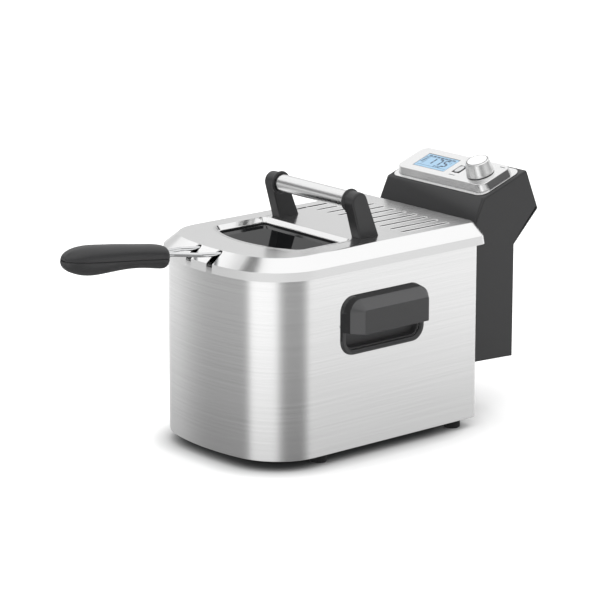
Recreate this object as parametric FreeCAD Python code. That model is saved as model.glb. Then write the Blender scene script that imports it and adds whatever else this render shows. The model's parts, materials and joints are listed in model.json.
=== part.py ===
import FreeCAD, Part
import math
import os

# Deep fryer with a removable oil bowl, a lift-off control unit, a basket and a lid.
# Design frame, in millimetres: x = 0 is the plane of symmetry, y = 0 is the rear face of the
# housing with the front towards -Y, and z = 0 is the worktop. export() moves the finished pieces
# so that the origin is at the middle of the whole fryer's footprint.

V = FreeCAD.Vector
UP = V(0, 0, 1)
RIGHTWARD = V(1, 0, 0)
REARWARD = V(0, 1, 0)

# ---------------------------------------------------------------- driving sizes
# Housing: a D-shaped sheet steel tub
HOUSING_WIDTH = 218.0
HOUSING_LENGTH = 309.0
HOUSING_HEIGHT = 207.0
FRONT_CORNER_RADIUS = 65.0
FRONT_BOW_RADIUS = 272.0
REAR_CORNER_RADIUS = 5.0
SHEET = 1.0
RIM_LIP = 6.0
FLOOR_LIP = 8.0

# Clearances
REST_GAP = 0.2
FIT_GAP = 0.3
SLIDE_GAP = 0.5
RUN_GAP = 0.06

# Feet and floor
FOOT_HEIGHT = 12.0
HOUSING_Z0 = FOOT_HEIGHT
RIM_Z = HOUSING_Z0 + HOUSING_HEIGHT
FOOT_RADIUS = 9.5
FOOT_X = 90.0
FOOT_REAR_INSET = 20.0
FOOT_FRONT_INSET = 89.0
FLOOR_PLATE = 1.5
FOOT_BOSS_HEIGHT = 8.0
FOOT_BOSS_RADIUS = 4.5
FOOT_SCREW_RADIUS = 2.0
FOOT_SCREW_HEAD_RADIUS = 4.0
FOOT_SCREW_HEAD = 2.6
FOOT_COUNTERBORE = 5.0
FLOOR_VENT_LENGTH = 60.0
FLOOR_VENT_WIDTH = 5.0
FLOOR_VENT_PITCH = 14.0
FLOOR_VENTS = 7

# Rim collar, heat shield and bowl
COLLAR_HEIGHT = 5.0
COLLAR_INSET = 13.0
SHIELD_INSET = 11.2
SHIELD_SHEET = 0.6
BOWL_INSET = 15.0
BOWL_SHEET = 1.2
BOWL_REAR_RADIUS = 25.0
BOWL_FLOOR_Z = 34.0
BOWL_FLOOR_ROUND = 20.0
BOWL_FLANGE_OVERLAP = 2.5

# Side handles
GRIP_CENTRE_Y = -145.0
GRIP_CENTRE_Z = RIM_Z - 66.1
GRIP_WIDTH = 121.0
GRIP_HEIGHT = 67.2
GRIP_CORNER = 18.0
HOOD_DEPTH = 26.0
HOOD_SHOULDER = 13.6
HOOD_UNDERSIDE_Z = RIM_Z - 71.5
HOOD_FACE_WIDTH = 93.0
HOOD_FACE_TOP_DROP = 12.0
BEZEL_DEPTH = 4.0
GRIP_WALL = 2.6
CUP_DEPTH = 9.6
CUP_SHEET = 1.6
CUP_FLANGE = 6.0
GRIP_SCREW_RADIUS = 1.5
GRIP_SCREW_HEAD_RADIUS = 2.8
GRIP_SCREW_HEAD = 1.8

# Lid
LID_OVERHANG = 6.0
LID_REAR_OVERHANG = 9.0
LID_REAR_CORNER = 10.0
LID_SHEET = 0.8
SKIRT_BOTTOM_Z = RIM_Z - 4.5
SKIRT_HEIGHT = 9.6
SKIRT_DRAFT = 1.0
CHAMFER_WIDTH = 17.2
CHAMFER_REAR_WIDTH = 2.2
CHAMFER_HEIGHT = 12.7
VENTS = 10
VENT_PITCH = 17.86
VENT_WIDTH = 4.6
VENT_FRONT_Y = -91.2
VENT_REAR_Y = -20.4

# Window in the lid
WINDOW_HALF = 75.0
WINDOW_REAR_Y = -158.0
WINDOW_FRONT_Y = -255.0
WINDOW_CORNER = 15.0
WINDOW_BOW = 139.0
WINDOW_REAR_CORNER = 8.0
FRAME_LIP = 0.8
FRAME_SLOPE = 3.4
FRAME_FLOOR = 1.2
FRAME_DEPTH = 5.6
FRAME_FLANGE = 1.6
FRAME_RIDGE = 0.5
FRAME_RIDGE_WIDTH = 1.6
SEAL_THICKNESS = 0.8
GLASS_THICKNESS = 3.0
RETAINER_THICKNESS = 1.4
RETAINER_WIDTH = 5.0
RETAINER_UPSTAND = 1.2

# Lid liner and grease filter
LINER_SHEET = 1.0
LINER_INSET = 19.0
LINER_OUTSET = 2.0
LINER_BRIDGE_FRONT_Y = -152.0
LINER_BRIDGE_REAR_Y = -102.0
LINER_REAR_STEP = 3.5
LINER_HOLE_CORNER = 10.0
LINER_POST_RADIUS = 3.0
LINER_POST_X = 30.0
FILTER_HALF = 82.5
FILTER_FRONT_Y = -93.5
FILTER_REAR_Y = -17.5
FILTER_THICKNESS = 2.2
FILTER_FRAME = 3.0
FILTER_LIP = 3.0
FILTER_FLOOR = 0.9
FILTER_CORNER = 4.0

# Lid handle
POST_OUTER_X = 76.0
POST_THICKNESS = 15.0
POST_BOSS_X = 58.0
POST_FRONT_Y = -148.0
POST_REAR_Y = -120.0
BAR_Y = -148.0
BAR_RISE = 40.7
BAR_RADIUS = 9.85
LEG_TOP_RADIUS = BAR_RADIUS + 1.15
BOSS_RADIUS = 13.0
BAR_SOCKET = 10.0
POST_ROUND = 2.5
LID_SCREW_RADIUS = 2.0
LID_SCREW_HEAD_RADIUS = 3.8
LID_SCREW_HEAD = 2.2
LID_SCREW_REACH = 12.0

# Control unit
UNIT_HALF = 82.0
UNIT_WALL = 2.6
UNIT_BOTTOM_Z = RIM_Z - 152.0
UNIT_REAR_Y = 82.8
UNIT_SIDE_ROUND = 2.5
PANEL_FRONT_Y = 33.0
PANEL_FRONT_Z = RIM_Z + 37.8
PANEL_TILT = 19.2
PANEL_LENGTH = 71.6
UNIT_TIP_Y = 120.2
UNIT_TIP_Z = RIM_Z + 13.6
UNIT_NOTCH_Z = RIM_Z - 23.6
UNIT_STEP_Z = RIM_Z - 9.0
UNIT_STEP_Y = 14.0
UNIT_COVER_SPLIT = 3.0
COVER_SCREW_INSET = 14.0
COVER_SCREW_RADIUS = 1.5
COVER_SCREW_LENGTH = 10.6
COVER_SCREW_HEAD_RADIUS = 3.0
COVER_SCREW_HEAD = 1.6
RAIL_X = 45.0
RAIL_WIDTH = 10.0
RAIL_DEPTH = 6.0
RAIL_BOTTOM_Z = RIM_Z - 137.0
RAIL_TOP_Z = RIM_Z - 21.0
RAIL_CHAMFER = 2.0

# Mains gland, reset button and cutout on the rear cover
GLAND_X = 45.0
GLAND_Z = RIM_Z - 131.0
GLAND_RADIUS = 7.0
GLAND_BORE = 3.8
GLAND_FLANGE = 9.5
GLAND_FLANGE_THICKNESS = 2.0
GLAND_NUT = 4.0
GLAND_REACH = 8.6
RESET_RADIUS = 4.0
RESET_TRAVEL = 1.5
RESET_LENGTH = 8.0
RESET_INSIDE = 6.2
RESET_STOP = 1.2
CUTOUT_RADIUS = 10.0
CUTOUT_DEPTH = 9.0

# Control panel, in the tilted panel frame (u across, v up the slope, n outwards)
OPENING_HALF = 64.0
OPENING_V0 = 12.0
OPENING_V1 = 54.0
OPENING_CORNER = 4.0
TRIM_HALF = 77.5
TRIM_V0 = 1.8
TRIM_V1 = 67.0
TRIM_CORNER = 11.0
TRIM_THICKNESS = 1.2
ISLAND_HALF = 72.5
ISLAND_V0 = 8.5
ISLAND_V1 = 58.0
ISLAND_CORNER = 10.0
ISLAND_HEIGHT = 10.0
ISLAND_DRAFT = 2.4
ISLAND_WALL = 1.4
LCD_U = -27.5
LCD_V = 33.0
LCD_WIDTH = 53.0
LCD_HEIGHT = 28.5
LCD_LENS = 1.4
LCD_MODULE_DEPTH = 5.0
LCD_MODULE_MARGIN = 3.0
KNOB_U = 47.5
KNOB_V = 31.8
KNOB_RADIUS = 16.4
KNOB_TOP_RADIUS = 14.0
KNOB_HEIGHT = 16.0
KNOB_CLEARANCE = 0.8
KNOB_WALL = 1.2
KNOB_SHAFT_RADIUS = 3.0
KNOB_CAP_RADIUS = 12.4
KNOB_CAP_DEPTH = 1.6
KNOB_CHAMFER = 1.2
KNOB_ROOF = 4.0
KNOB_DISH_RADIUS = 90.0
BUTTON_U = 15.4
BUTTON_V = 29.4
BUTTON_LENGTH = 14.0
BUTTON_WIDTH = 8.0
BUTTON_RISE = 1.0
BUTTON_TRAVEL = 0.8
BUTTON_RING = 1.2
BOARD_DEPTH = 6.0
BOARD_THICKNESS = 1.6
BOARD_MARGIN = 2.0

# Power board in the column, with the height that each component stands off it
BOARD_HALF = 60.0
BOARD_Y = 40.0
BOARD_Z0 = RIM_Z - 119.0
BOARD_Z1 = RIM_Z - 23.0
BOARD_POST_INSET = 4.0
BOARD_POST_RADIUS = 3.0
RELAY_HEIGHT = 17.0
TRANSFORMER_HEIGHT = 24.0
CAPACITOR_HEIGHT = 22.0
TERMINAL_HALF = 24.0
TERMINAL_Y = (22.0, 38.0)
TERMINAL_Z = (RIM_Z - 14.0, RIM_Z - 6.0)
SWITCH_BODY = (7.0, 10.0, 20.0)
SWITCH_Y = 6.0
SWITCH_Z = RIM_Z - 69.0

# Heating element and its neck over the rim
TUBE_RADIUS = 3.25
TUBE_X = 12.0
TUBE_DROP_Y = -26.0
TUBE_FLOOR_Z = 50.0
TUBE_BEND = 7.5
LOOP_OUTER_X = 62.0
LOOP_INNER_X = 28.0
LOOP_REAR_Y = -56.0
LOOP_RETURN_Y = -96.0
LOOP_FRONT_Y = -236.0
NECK_HALF = 36.0
NECK_SHEET = 1.0
NECK_BOTTOM_Z = RIM_Z + 2.4
NECK_TOP_Z = RIM_Z + 12.2
NECK_FRONT_Y = -34.0
NECK_BACK_Y = -19.0
NECK_FOOT_Z = 78.0
PROBE_RADIUS = 2.5
PROBE_LENGTH = 90.0
PROBE_Z = 58.0
PROBE_CLIP_Y = -116.0
CAPILLARY_RADIUS = 1.0

# Basket
BASKET_INSET = 25.5
BASKET_REAR_Y = -39.0
BASKET_REAR_RADIUS = 22.0
BASKET_WALL = 2.2
BASKET_FLOOR_Z = 66.0
BASKET_TOP_Z = RIM_Z - 9.0
BASKET_ROUND = 12.0
BASKET_RIM_HEIGHT = 3.0
BASKET_WIRE_RADIUS = 1.5
BASKET_HOOP_X = (-42.0, 0.0, 42.0)
BRACKET_HALF = 24.0
BRACKET_SHEET = 1.5
BRACKET_BOTTOM_Z = RIM_Z - 29.0
BRACKET_TUBE_RADIUS = 4.2

# Basket handle, along its own rising axis
HANDLE_RISE = 7.0
WIRE_RADIUS = 2.5
WIRE_X = 18.0
WIRE_GRIP_X = 8.0
WIRE_REF_Y = -303.0
WIRE_REF_Z = RIM_Z + 14.0
WIRE_TUBE_FRONT = -286.5
WIRE_TUBE_REAR = -268.0
WIRE_BEND_Y = -325.0
WIRE_GRIP_Y = -355.0
WIRE_BEND = 10.0
GRIP_INNER_Y = -361.0
GRIP_TIP_Y = -494.0
GRIP_DROP = 4.0
GRIP_BORE = 48.0
GRIP_SCREW_Y = GRIP_TIP_Y + 50.0
# Sections: share of the grip's length from its inner end, breadth, height, lift of the middle
GRIP_SECTIONS = (
    (0.0, 20.0, 18.0, 0.0),
    (0.015, 24.5, 23.0, 0.2),
    (0.053, 26.5, 25.3, 0.7),
    (0.188, 27.0, 25.3, 2.0),
    (0.338, 27.5, 25.6, 2.4),
    (0.489, 28.5, 28.2, 1.8),
    (0.639, 30.0, 31.0, 0.6),
    (0.774, 30.5, 31.8, 0.0),
    (0.887, 27.5, 27.2, 0.0),
    (0.962, 20.0, 19.0, 0.0),
    (1.0, 9.0, 7.5, 0.0),
)
NOTCH_WIDTH = 9.2

# ---------------------------------------------------------------- derived levels
SKIRT_TOP_Z = SKIRT_BOTTOM_Z + SKIRT_HEIGHT
LID_TOP_Z = SKIRT_TOP_Z + CHAMFER_HEIGHT
LID_INNER_Z = LID_TOP_Z - LID_SHEET
FLOOR_Z = HOUSING_Z0 + SHEET
FLOOR_TOP_Z = FLOOR_Z + FLOOR_PLATE
BOWL_FLANGE_Z = RIM_Z + REST_GAP
BOWL_FLANGE_TOP_Z = BOWL_FLANGE_Z + BOWL_SHEET
BAR_Z = LID_TOP_Z + BAR_RISE
TILT = math.radians(PANEL_TILT)
RISE = math.radians(HANDLE_RISE)
ROW_Y = (GRIP_TIP_Y + UNIT_TIP_Y) / 2
PANEL_ORIGIN = V(0, PANEL_FRONT_Y, PANEL_FRONT_Z)
PANEL_NORMAL = V(0, -math.sin(TILT), math.cos(TILT))
FRAME_REACH = FRAME_LIP + FRAME_SLOPE + FRAME_FLANGE


# ---------------------------------------------------------------- helpers
def export(name, shape):
    """Write one node, moved from the design frame to the frame of the finished part."""
    shape = shape.removeSplitter() if shape.ShapeType != "Compound" else shape
    moved = shape.copy()
    moved.translate(V(0, -ROW_Y, 0))
    moved.exportStep("parts/" + name + ".step")


def box(x0, x1, y0, y1, z0, z1):
    """Box between two corners."""
    return Part.makeBox(x1 - x0, y1 - y0, z1 - z0, V(x0, y0, z0))


def cylinder(radius, height, base, direction=UP):
    return Part.makeCylinder(radius, height, base, direction)


def mirrored(shape):
    """The same piece on the other side of the plane of symmetry."""
    return shape.mirror(V(0, 0, 0), RIGHTWARD)


def arc_edge(cx, cy, radius, start, end, z):
    """Arc about (cx, cy) between two angles in radians, at height z."""
    points = []
    for angle in (start, (start + end) / 2, end):
        points.append(V(cx + radius * math.cos(angle), cy + radius * math.sin(angle), z))
    return Part.Arc(*points).toShape()


def d_wire(half, rear_y, front_y, corner, bow, rear_corner, z):
    """Closed D: straight sides and rear, round front corners and a bowed front, all tangent."""
    corner_x = half - corner
    bow_y = front_y + bow
    corner_y = bow_y - math.sqrt((bow - corner) ** 2 - corner_x**2)
    rear_x = half - rear_corner
    rear_cy = rear_y - rear_corner
    lean = math.atan2(corner_y - bow_y, corner_x)
    quarter = math.pi / 2
    edges = [
        Part.makeLine(V(-rear_x, rear_y, z), V(rear_x, rear_y, z)),
        arc_edge(rear_x, rear_cy, rear_corner, quarter, 0, z),
        Part.makeLine(V(half, rear_cy, z), V(half, corner_y, z)),
        arc_edge(corner_x, corner_y, corner, 0, lean, z),
        arc_edge(0, bow_y, bow, lean, -math.pi - lean, z),
        arc_edge(-corner_x, corner_y, corner, -math.pi - lean, -math.pi, z),
        Part.makeLine(V(-half, corner_y, z), V(-half, rear_cy, z)),
        arc_edge(-rear_x, rear_cy, rear_corner, math.pi, quarter, z),
    ]
    return Part.Wire(edges)


def housing_wire(offset, z, rear_y=None, rear_corner=None):
    """The housing's outline, offset outwards (negative inwards)."""
    return d_wire(
        HOUSING_WIDTH / 2 + offset,
        offset if rear_y is None else rear_y,
        -HOUSING_LENGTH - offset,
        FRONT_CORNER_RADIUS + offset,
        FRONT_BOW_RADIUS + offset,
        max(REAR_CORNER_RADIUS + offset, 1.0) if rear_corner is None else rear_corner,
        z,
    )


def window_wire(offset, z):
    """The window's outline, offset outwards (negative inwards)."""
    return d_wire(
        WINDOW_HALF + offset,
        WINDOW_REAR_Y + offset,
        WINDOW_FRONT_Y - offset,
        WINDOW_CORNER + offset,
        WINDOW_BOW + offset,
        max(WINDOW_REAR_CORNER + offset, 1.0),
        z,
    )


def prism(wire, height):
    """Solid above a flat closed wire."""
    return Part.Face(wire).extrude(V(0, 0, height))


def housing_prism(offset, z0, z1, rear_y=None, rear_corner=None):
    return prism(housing_wire(offset, z0, rear_y, rear_corner), z1 - z0)


def window_prism(offset, z0, z1):
    return prism(window_wire(offset, z0), z1 - z0)


def loft(*wires):
    """Ruled solid through closed wires."""
    return Part.makeLoft(list(wires), True, True)


def rounded_rectangle(u0, u1, v0, v1, radius, place):
    """Closed rounded rectangle; place(u, v) gives the point in space."""
    edges = []
    corners = [(u1 - radius, v1 - radius, 90), (u0 + radius, v1 - radius, 180)]
    corners += [(u0 + radius, v0 + radius, 270), (u1 - radius, v0 + radius, 360)]
    last = None
    first = None
    for cu, cv, end in corners:
        angles = [math.radians(end - 90), math.radians(end - 45), math.radians(end)]
        points = [place(cu + radius * math.cos(a), cv + radius * math.sin(a)) for a in angles]
        if last is not None:
            edges.append(Part.makeLine(last, points[0]))
        first = points[0] if first is None else first
        edges.append(Part.Arc(*points).toShape())
        last = points[2]
    edges.append(Part.makeLine(last, first))
    return Part.Wire(edges)


def flat_rounded_box(x0, x1, y0, y1, z0, z1, radius):
    """Upright box with rounded vertical edges."""
    wire = rounded_rectangle(x0, x1, y0, y1, radius, lambda u, v: V(u, v, z0))
    return prism(wire, z1 - z0)


def slot(cx, y0, y1, width, z0, z1):
    """Round-ended slot cutter along Y."""
    return flat_rounded_box(cx - width / 2, cx + width / 2, y0, y1, z0, z1, width / 2 - 0.01)


def rounded_path(points, radius):
    """Wire of straight runs joined by tangent arcs of one radius."""
    edges = []
    start = points[0]
    for before, here, after in zip(points, points[1:], points[2:]):
        inward = (before - here).normalize()
        outward = (after - here).normalize()
        half = inward.getAngle(outward) / 2
        cut = radius / math.tan(half)
        middle = (inward + outward).normalize()
        near = here + middle * (radius / math.sin(half) - radius)
        entry = here + inward * cut
        leave = here + outward * cut
        edges.append(Part.makeLine(start, entry))
        edges.append(Part.Arc(entry, near, leave).toShape())
        start = leave
    edges.append(Part.makeLine(start, points[-1]))
    return Part.Wire(edges)


def tube(points, radius, bend):
    """Round bar that follows straight runs with tangent bends."""
    path = rounded_path(points, bend)
    direction = (points[1] - points[0]).normalize()
    profile = Part.Wire(Part.makeCircle(radius, points[0], direction))
    return path.makePipeShell([profile], True, True)


def panel_point(u, v, n=0.0):
    """Point in the tilted panel frame."""
    along = V(0, math.cos(TILT), math.sin(TILT))
    return PANEL_ORIGIN + V(u, 0, 0) + along * v + PANEL_NORMAL * n


def panel_outline(u0, u1, v0, v1, radius, n):
    return rounded_rectangle(u0, u1, v0, v1, radius, lambda u, v: panel_point(u, v, n))


def panel_block(u0, u1, v0, v1, n0, n1, radius=0.5):
    """Block on the tilted panel."""
    wire = panel_outline(u0, u1, v0, v1, radius, n0)
    return Part.Face(wire).extrude(PANEL_NORMAL * (n1 - n0))


def panel_cylinder(u, v, radius, n0, n1):
    return cylinder(radius, n1 - n0, panel_point(u, v, n0), PANEL_NORMAL)


def panel_cone(u, v, r0, r1, n0, n1):
    return Part.makeCone(r0, r1, n1 - n0, panel_point(u, v, n0), PANEL_NORMAL)


def panel_opening(n0, n1):
    """Hole through the case and the trim, under the raised plate."""
    return panel_block(-OPENING_HALF, OPENING_HALF, OPENING_V0, OPENING_V1, n0, n1, OPENING_CORNER)


def yz_prism(points, half):
    """Solid with a polygon in the YZ plane, from -half to +half in X."""
    corners = [V(-half, y, z) for y, z in points]
    wire = Part.makePolygon(corners + [corners[0]])
    return Part.Face(wire).extrude(V(2 * half, 0, 0))


def handle_axis(y, x=0.0, drop=0.0):
    """Point on the basket handle's rising axis at a given y."""
    z = WIRE_REF_Z + math.tan(RISE) * (WIRE_REF_Y - y)
    return V(x, y, z - drop)


# ---------------------------------------------------------------- housing
def foot_places():
    front = -HOUSING_LENGTH + FOOT_FRONT_INSET
    rear = -FOOT_REAR_INSET
    return {
        "foot_front_left": (-FOOT_X, front),
        "foot_front_right": (FOOT_X, front),
        "foot_rear_left": (-FOOT_X, rear),
        "foot_rear_right": (FOOT_X, rear),
    }


def grip_wire(x, inset_side, inset_top, inset_bottom, radius):
    """Rounded rectangle of the side handle in the plane at x."""
    half = GRIP_WIDTH / 2 - inset_side
    z0 = GRIP_CENTRE_Z - GRIP_HEIGHT / 2 + inset_bottom
    z1 = GRIP_CENTRE_Z + GRIP_HEIGHT / 2 - inset_top
    y0 = GRIP_CENTRE_Y - half
    y1 = GRIP_CENTRE_Y + half
    return rounded_rectangle(y0, y1, z0, z1, radius, lambda y, z: V(x, y, z))


def grip_prism(x0, x1, inset, radius):
    return Part.Face(grip_wire(x0, inset, inset, inset, radius)).extrude(V(x1 - x0, 0, 0))


def cup_opening(x0, x1, clearance):
    """Space of the cup where it passes the sheet, grown by a clearance."""
    inset = CUP_FLANGE - clearance
    return grip_prism(x0, x1, inset, GRIP_CORNER - CUP_FLANGE + clearance)


def make_outer_housing():
    wall = housing_prism(0, HOUSING_Z0, RIM_Z)
    inner = housing_prism(-SHEET, HOUSING_Z0 + SHEET, RIM_Z - SHEET)
    mouth = housing_prism(-RIM_LIP, RIM_Z - 2 * SHEET, RIM_Z + SHEET)
    floor = housing_prism(-FLOOR_LIP, HOUSING_Z0 - SHEET, HOUSING_Z0 + 2 * SHEET)
    shell = wall.cut(inner).cut(mouth).cut(floor)
    reach = HOUSING_WIDTH / 2
    opening = cup_opening(reach - CUP_DEPTH, reach + SHEET, FIT_GAP)
    return shell.cut(opening).cut(mirrored(opening))


def make_floor_plate():
    plate = housing_prism(-SHEET - FIT_GAP, FLOOR_Z, FLOOR_TOP_Z)
    for x, y in foot_places().values():
        plate = plate.fuse(cylinder(FOOT_BOSS_RADIUS, FOOT_BOSS_HEIGHT, V(x, y, FLOOR_TOP_Z)))
        bore_height = FLOOR_PLATE + FOOT_BOSS_HEIGHT + 2
        plate = plate.cut(cylinder(FOOT_SCREW_RADIUS, bore_height, V(x, y, FLOOR_Z - 1)))
    middle = -HOUSING_LENGTH / 2
    for index in range(FLOOR_VENTS):
        x = (index - (FLOOR_VENTS - 1) / 2) * FLOOR_VENT_PITCH
        y0 = middle - FLOOR_VENT_LENGTH / 2
        y1 = middle + FLOOR_VENT_LENGTH / 2
        plate = plate.cut(slot(x, y0, y1, FLOOR_VENT_WIDTH, FLOOR_Z - 1, FLOOR_TOP_Z + 1))
    return plate


def make_foot(x, y):
    foot = cylinder(FOOT_RADIUS, FLOOR_Z, V(x, y, 0))
    foot = foot.makeFillet(1.2, [foot.Edges[2]])
    foot = foot.cut(cylinder(FOOT_SCREW_HEAD_RADIUS + FIT_GAP, FOOT_COUNTERBORE, V(x, y, 0)))
    return foot.cut(cylinder(FOOT_SCREW_RADIUS, FLOOR_Z + 1, V(x, y, 0)))


def make_foot_screws():
    screws = []
    for x, y in foot_places().values():
        base = FOOT_COUNTERBORE - FOOT_SCREW_HEAD
        head = cylinder(FOOT_SCREW_HEAD_RADIUS, FOOT_SCREW_HEAD, V(x, y, base))
        length = FLOOR_TOP_Z + FOOT_BOSS_HEIGHT - FOOT_COUNTERBORE
        shank = cylinder(FOOT_SCREW_RADIUS, length, V(x, y, FOOT_COUNTERBORE))
        screws.append(head.fuse(shank))
    return Part.makeCompound(screws)


def make_rim_collar():
    top = RIM_Z - SHEET
    outer = housing_prism(-SHEET - FIT_GAP, top - COLLAR_HEIGHT, top)
    return outer.cut(housing_prism(-COLLAR_INSET, top - COLLAR_HEIGHT - 1, top + 1))


def make_heat_shield():
    top = RIM_Z - SHEET - COLLAR_HEIGHT
    outer = housing_prism(-SHIELD_INSET, FLOOR_TOP_Z, top, rear_corner=REAR_CORNER_RADIUS)
    inner = housing_prism(
        -SHIELD_INSET - SHIELD_SHEET, FLOOR_TOP_Z - 1, top + 1, rear_corner=REAR_CORNER_RADIUS
    )
    return outer.cut(inner)


def grip_screw_places():
    offset = GRIP_WIDTH / 2 - CUP_FLANGE / 2
    return [(GRIP_CENTRE_Y - offset, GRIP_CENTRE_Z), (GRIP_CENTRE_Y + offset, GRIP_CENTRE_Z)]


def make_side_handle():
    """Right-hand moulding: a bezel on the sheet with a hood over the finger space."""
    x0 = HOUSING_WIDTH / 2
    x1 = x0 + HOOD_SHOULDER
    x2 = x0 + HOOD_DEPTH
    shoulder_inset = 3.5
    face_inset = (GRIP_WIDTH - HOOD_FACE_WIDTH) / 2
    block = loft(
        grip_wire(x0, 0, 0, 0, GRIP_CORNER),
        grip_wire(x1, shoulder_inset, shoulder_inset / 2, shoulder_inset, GRIP_CORNER - shoulder_inset),
        grip_wire(x2, face_inset, HOOD_FACE_TOP_DROP, face_inset, 2.0),
    )
    low = GRIP_CENTRE_Z - GRIP_HEIGHT / 2
    half = GRIP_WIDTH / 2
    y0 = GRIP_CENTRE_Y - half
    y1 = GRIP_CENTRE_Y + half
    under = box(x0 + BEZEL_DEPTH, x2 + 1, y0 - 1, y1 + 1, low - 1, HOOD_UNDERSIDE_Z)
    block = block.cut(under)
    corner = GRIP_CORNER - CUP_FLANGE
    side = face_inset + GRIP_WALL
    top = HOOD_FACE_TOP_DROP + GRIP_WALL
    pocket = loft(
        grip_wire(x0 - 1, CUP_FLANGE, CUP_FLANGE, CUP_FLANGE, corner),
        grip_wire(x1 - GRIP_WALL, CUP_FLANGE + 2, CUP_FLANGE, CUP_FLANGE, corner),
        grip_wire(x2 - GRIP_WALL, side, top, CUP_FLANGE, 3.0),
    )
    block = block.cut(pocket)
    for y, z in grip_screw_places():
        block = block.cut(cylinder(GRIP_SCREW_RADIUS, BEZEL_DEPTH, V(x0 - 1, y, z), RIGHTWARD))
    return block


def make_side_cup():
    """Right-hand cup behind the sheet, which closes the finger space."""
    x0 = HOUSING_WIDTH / 2
    back = x0 - CUP_DEPTH
    body = cup_opening(back, x0, 0)
    inset = CUP_FLANGE + CUP_SHEET
    cavity = grip_prism(back + CUP_SHEET, x0 + 1, inset, GRIP_CORNER - inset)
    flange_x = x0 - SHEET - CUP_SHEET
    flange = grip_prism(flange_x, x0 - SHEET, 0, GRIP_CORNER)
    cup = body.fuse(flange).cut(cavity)
    for y, z in grip_screw_places():
        cup = cup.cut(cylinder(GRIP_SCREW_RADIUS, CUP_SHEET + 2, V(flange_x - 1, y, z), RIGHTWARD))
    return cup


def make_handle_screws():
    screws = []
    inner = HOUSING_WIDTH / 2 - SHEET - CUP_SHEET
    for y, z in grip_screw_places():
        base = V(inner - GRIP_SCREW_HEAD, y, z)
        head = cylinder(GRIP_SCREW_HEAD_RADIUS, GRIP_SCREW_HEAD, base, RIGHTWARD)
        length = SHEET + CUP_SHEET + BEZEL_DEPTH - 1.5
        shank = cylinder(GRIP_SCREW_RADIUS, length, V(inner, y, z), RIGHTWARD)
        screw = head.fuse(shank)
        screws += [screw, mirrored(screw)]
    return Part.makeCompound(screws)


def drill_screw_holes(housing):
    """Holes in the sheet for the side handles' screws."""
    x0 = HOUSING_WIDTH / 2 - SHEET - 1
    for y, z in grip_screw_places():
        hole = cylinder(GRIP_SCREW_RADIUS, SHEET + 2, V(x0, y, z), RIGHTWARD)
        housing = housing.cut(hole).cut(mirrored(hole))
    return housing


def make_guide_rail(side):
    """Rail on the housing's rear that the control unit slides down over."""
    x = side * RAIL_X
    half = RAIL_WIDTH / 2
    rail = box(x - half, x + half, 0, RAIL_DEPTH, RAIL_BOTTOM_Z, RAIL_TOP_Z)
    top_edges = [e for e in rail.Edges if min(v.Z for v in e.Vertexes) > RAIL_TOP_Z - 0.1]
    outer = [e for e in top_edges if min(v.Y for v in e.Vertexes) > RAIL_DEPTH - 0.1]
    return rail.makeChamfer(RAIL_CHAMFER, outer)


# ---------------------------------------------------------------- oil bowl
def make_oil_bowl():
    outer = housing_prism(-BOWL_INSET, BOWL_FLOOR_Z, BOWL_FLANGE_TOP_Z, rear_corner=BOWL_REAR_RADIUS)
    outer = outer.makeFillet(BOWL_FLOOR_ROUND, bottom_edges(outer, BOWL_FLOOR_Z))
    flange = housing_prism(-BOWL_FLANGE_OVERLAP, BOWL_FLANGE_Z, BOWL_FLANGE_TOP_Z)
    floor = BOWL_FLOOR_Z + BOWL_SHEET
    inset = BOWL_INSET + BOWL_SHEET
    radius = BOWL_REAR_RADIUS - BOWL_SHEET
    inner = housing_prism(-inset, floor, BOWL_FLANGE_TOP_Z + 1, rear_corner=radius)
    inner = inner.makeFillet(BOWL_FLOOR_ROUND - BOWL_SHEET, bottom_edges(inner, floor))
    return outer.fuse(flange).cut(inner)


def bottom_edges(shape, z):
    return [e for e in shape.Edges if max(v.Z for v in e.Vertexes) < z + 0.01]


# ---------------------------------------------------------------- control unit
def unit_profile(inset):
    """The control unit's side outline in the YZ plane, set in by a wall."""
    front = FIT_GAP + SLIDE_GAP
    top_y = PANEL_FRONT_Y + PANEL_LENGTH * math.cos(TILT)
    top_z = PANEL_FRONT_Z + PANEL_LENGTH * math.sin(TILT)
    points = [
        V(front, UNIT_BOTTOM_Z, 0),
        V(front, UNIT_STEP_Z, 0),
        V(UNIT_STEP_Y, UNIT_STEP_Z + 2, 0),
        V(PANEL_FRONT_Y - 11, PANEL_FRONT_Z - 22.8, 0),
        V(PANEL_FRONT_Y, PANEL_FRONT_Z, 0),
        V(top_y, top_z, 0),
        V(UNIT_TIP_Y, UNIT_TIP_Z, 0),
        V(UNIT_REAR_Y, UNIT_NOTCH_Z, 0),
        V(UNIT_REAR_Y, UNIT_BOTTOM_Z - 4, 0),
    ]
    wire = Part.makePolygon(points + [points[0]])
    if inset:
        wire = wire.makeOffset2D(-inset, 2)
    return [(v.X, v.Y) for v in wire.OrderedVertexes]


def unit_solid(inset):
    return yz_prism(unit_profile(inset), UNIT_HALF - inset)


def unit_shell():
    """Hollow casing with rounded side edges, before it is split into case and cover."""
    outer = unit_solid(0)
    side = [e for e in outer.Edges if abs(e.Vertexes[0].X - e.Vertexes[1].X) < 0.01]
    outer = outer.makeFillet(UNIT_SIDE_ROUND, side)
    return outer.cut(unit_solid(UNIT_WALL))


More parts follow.
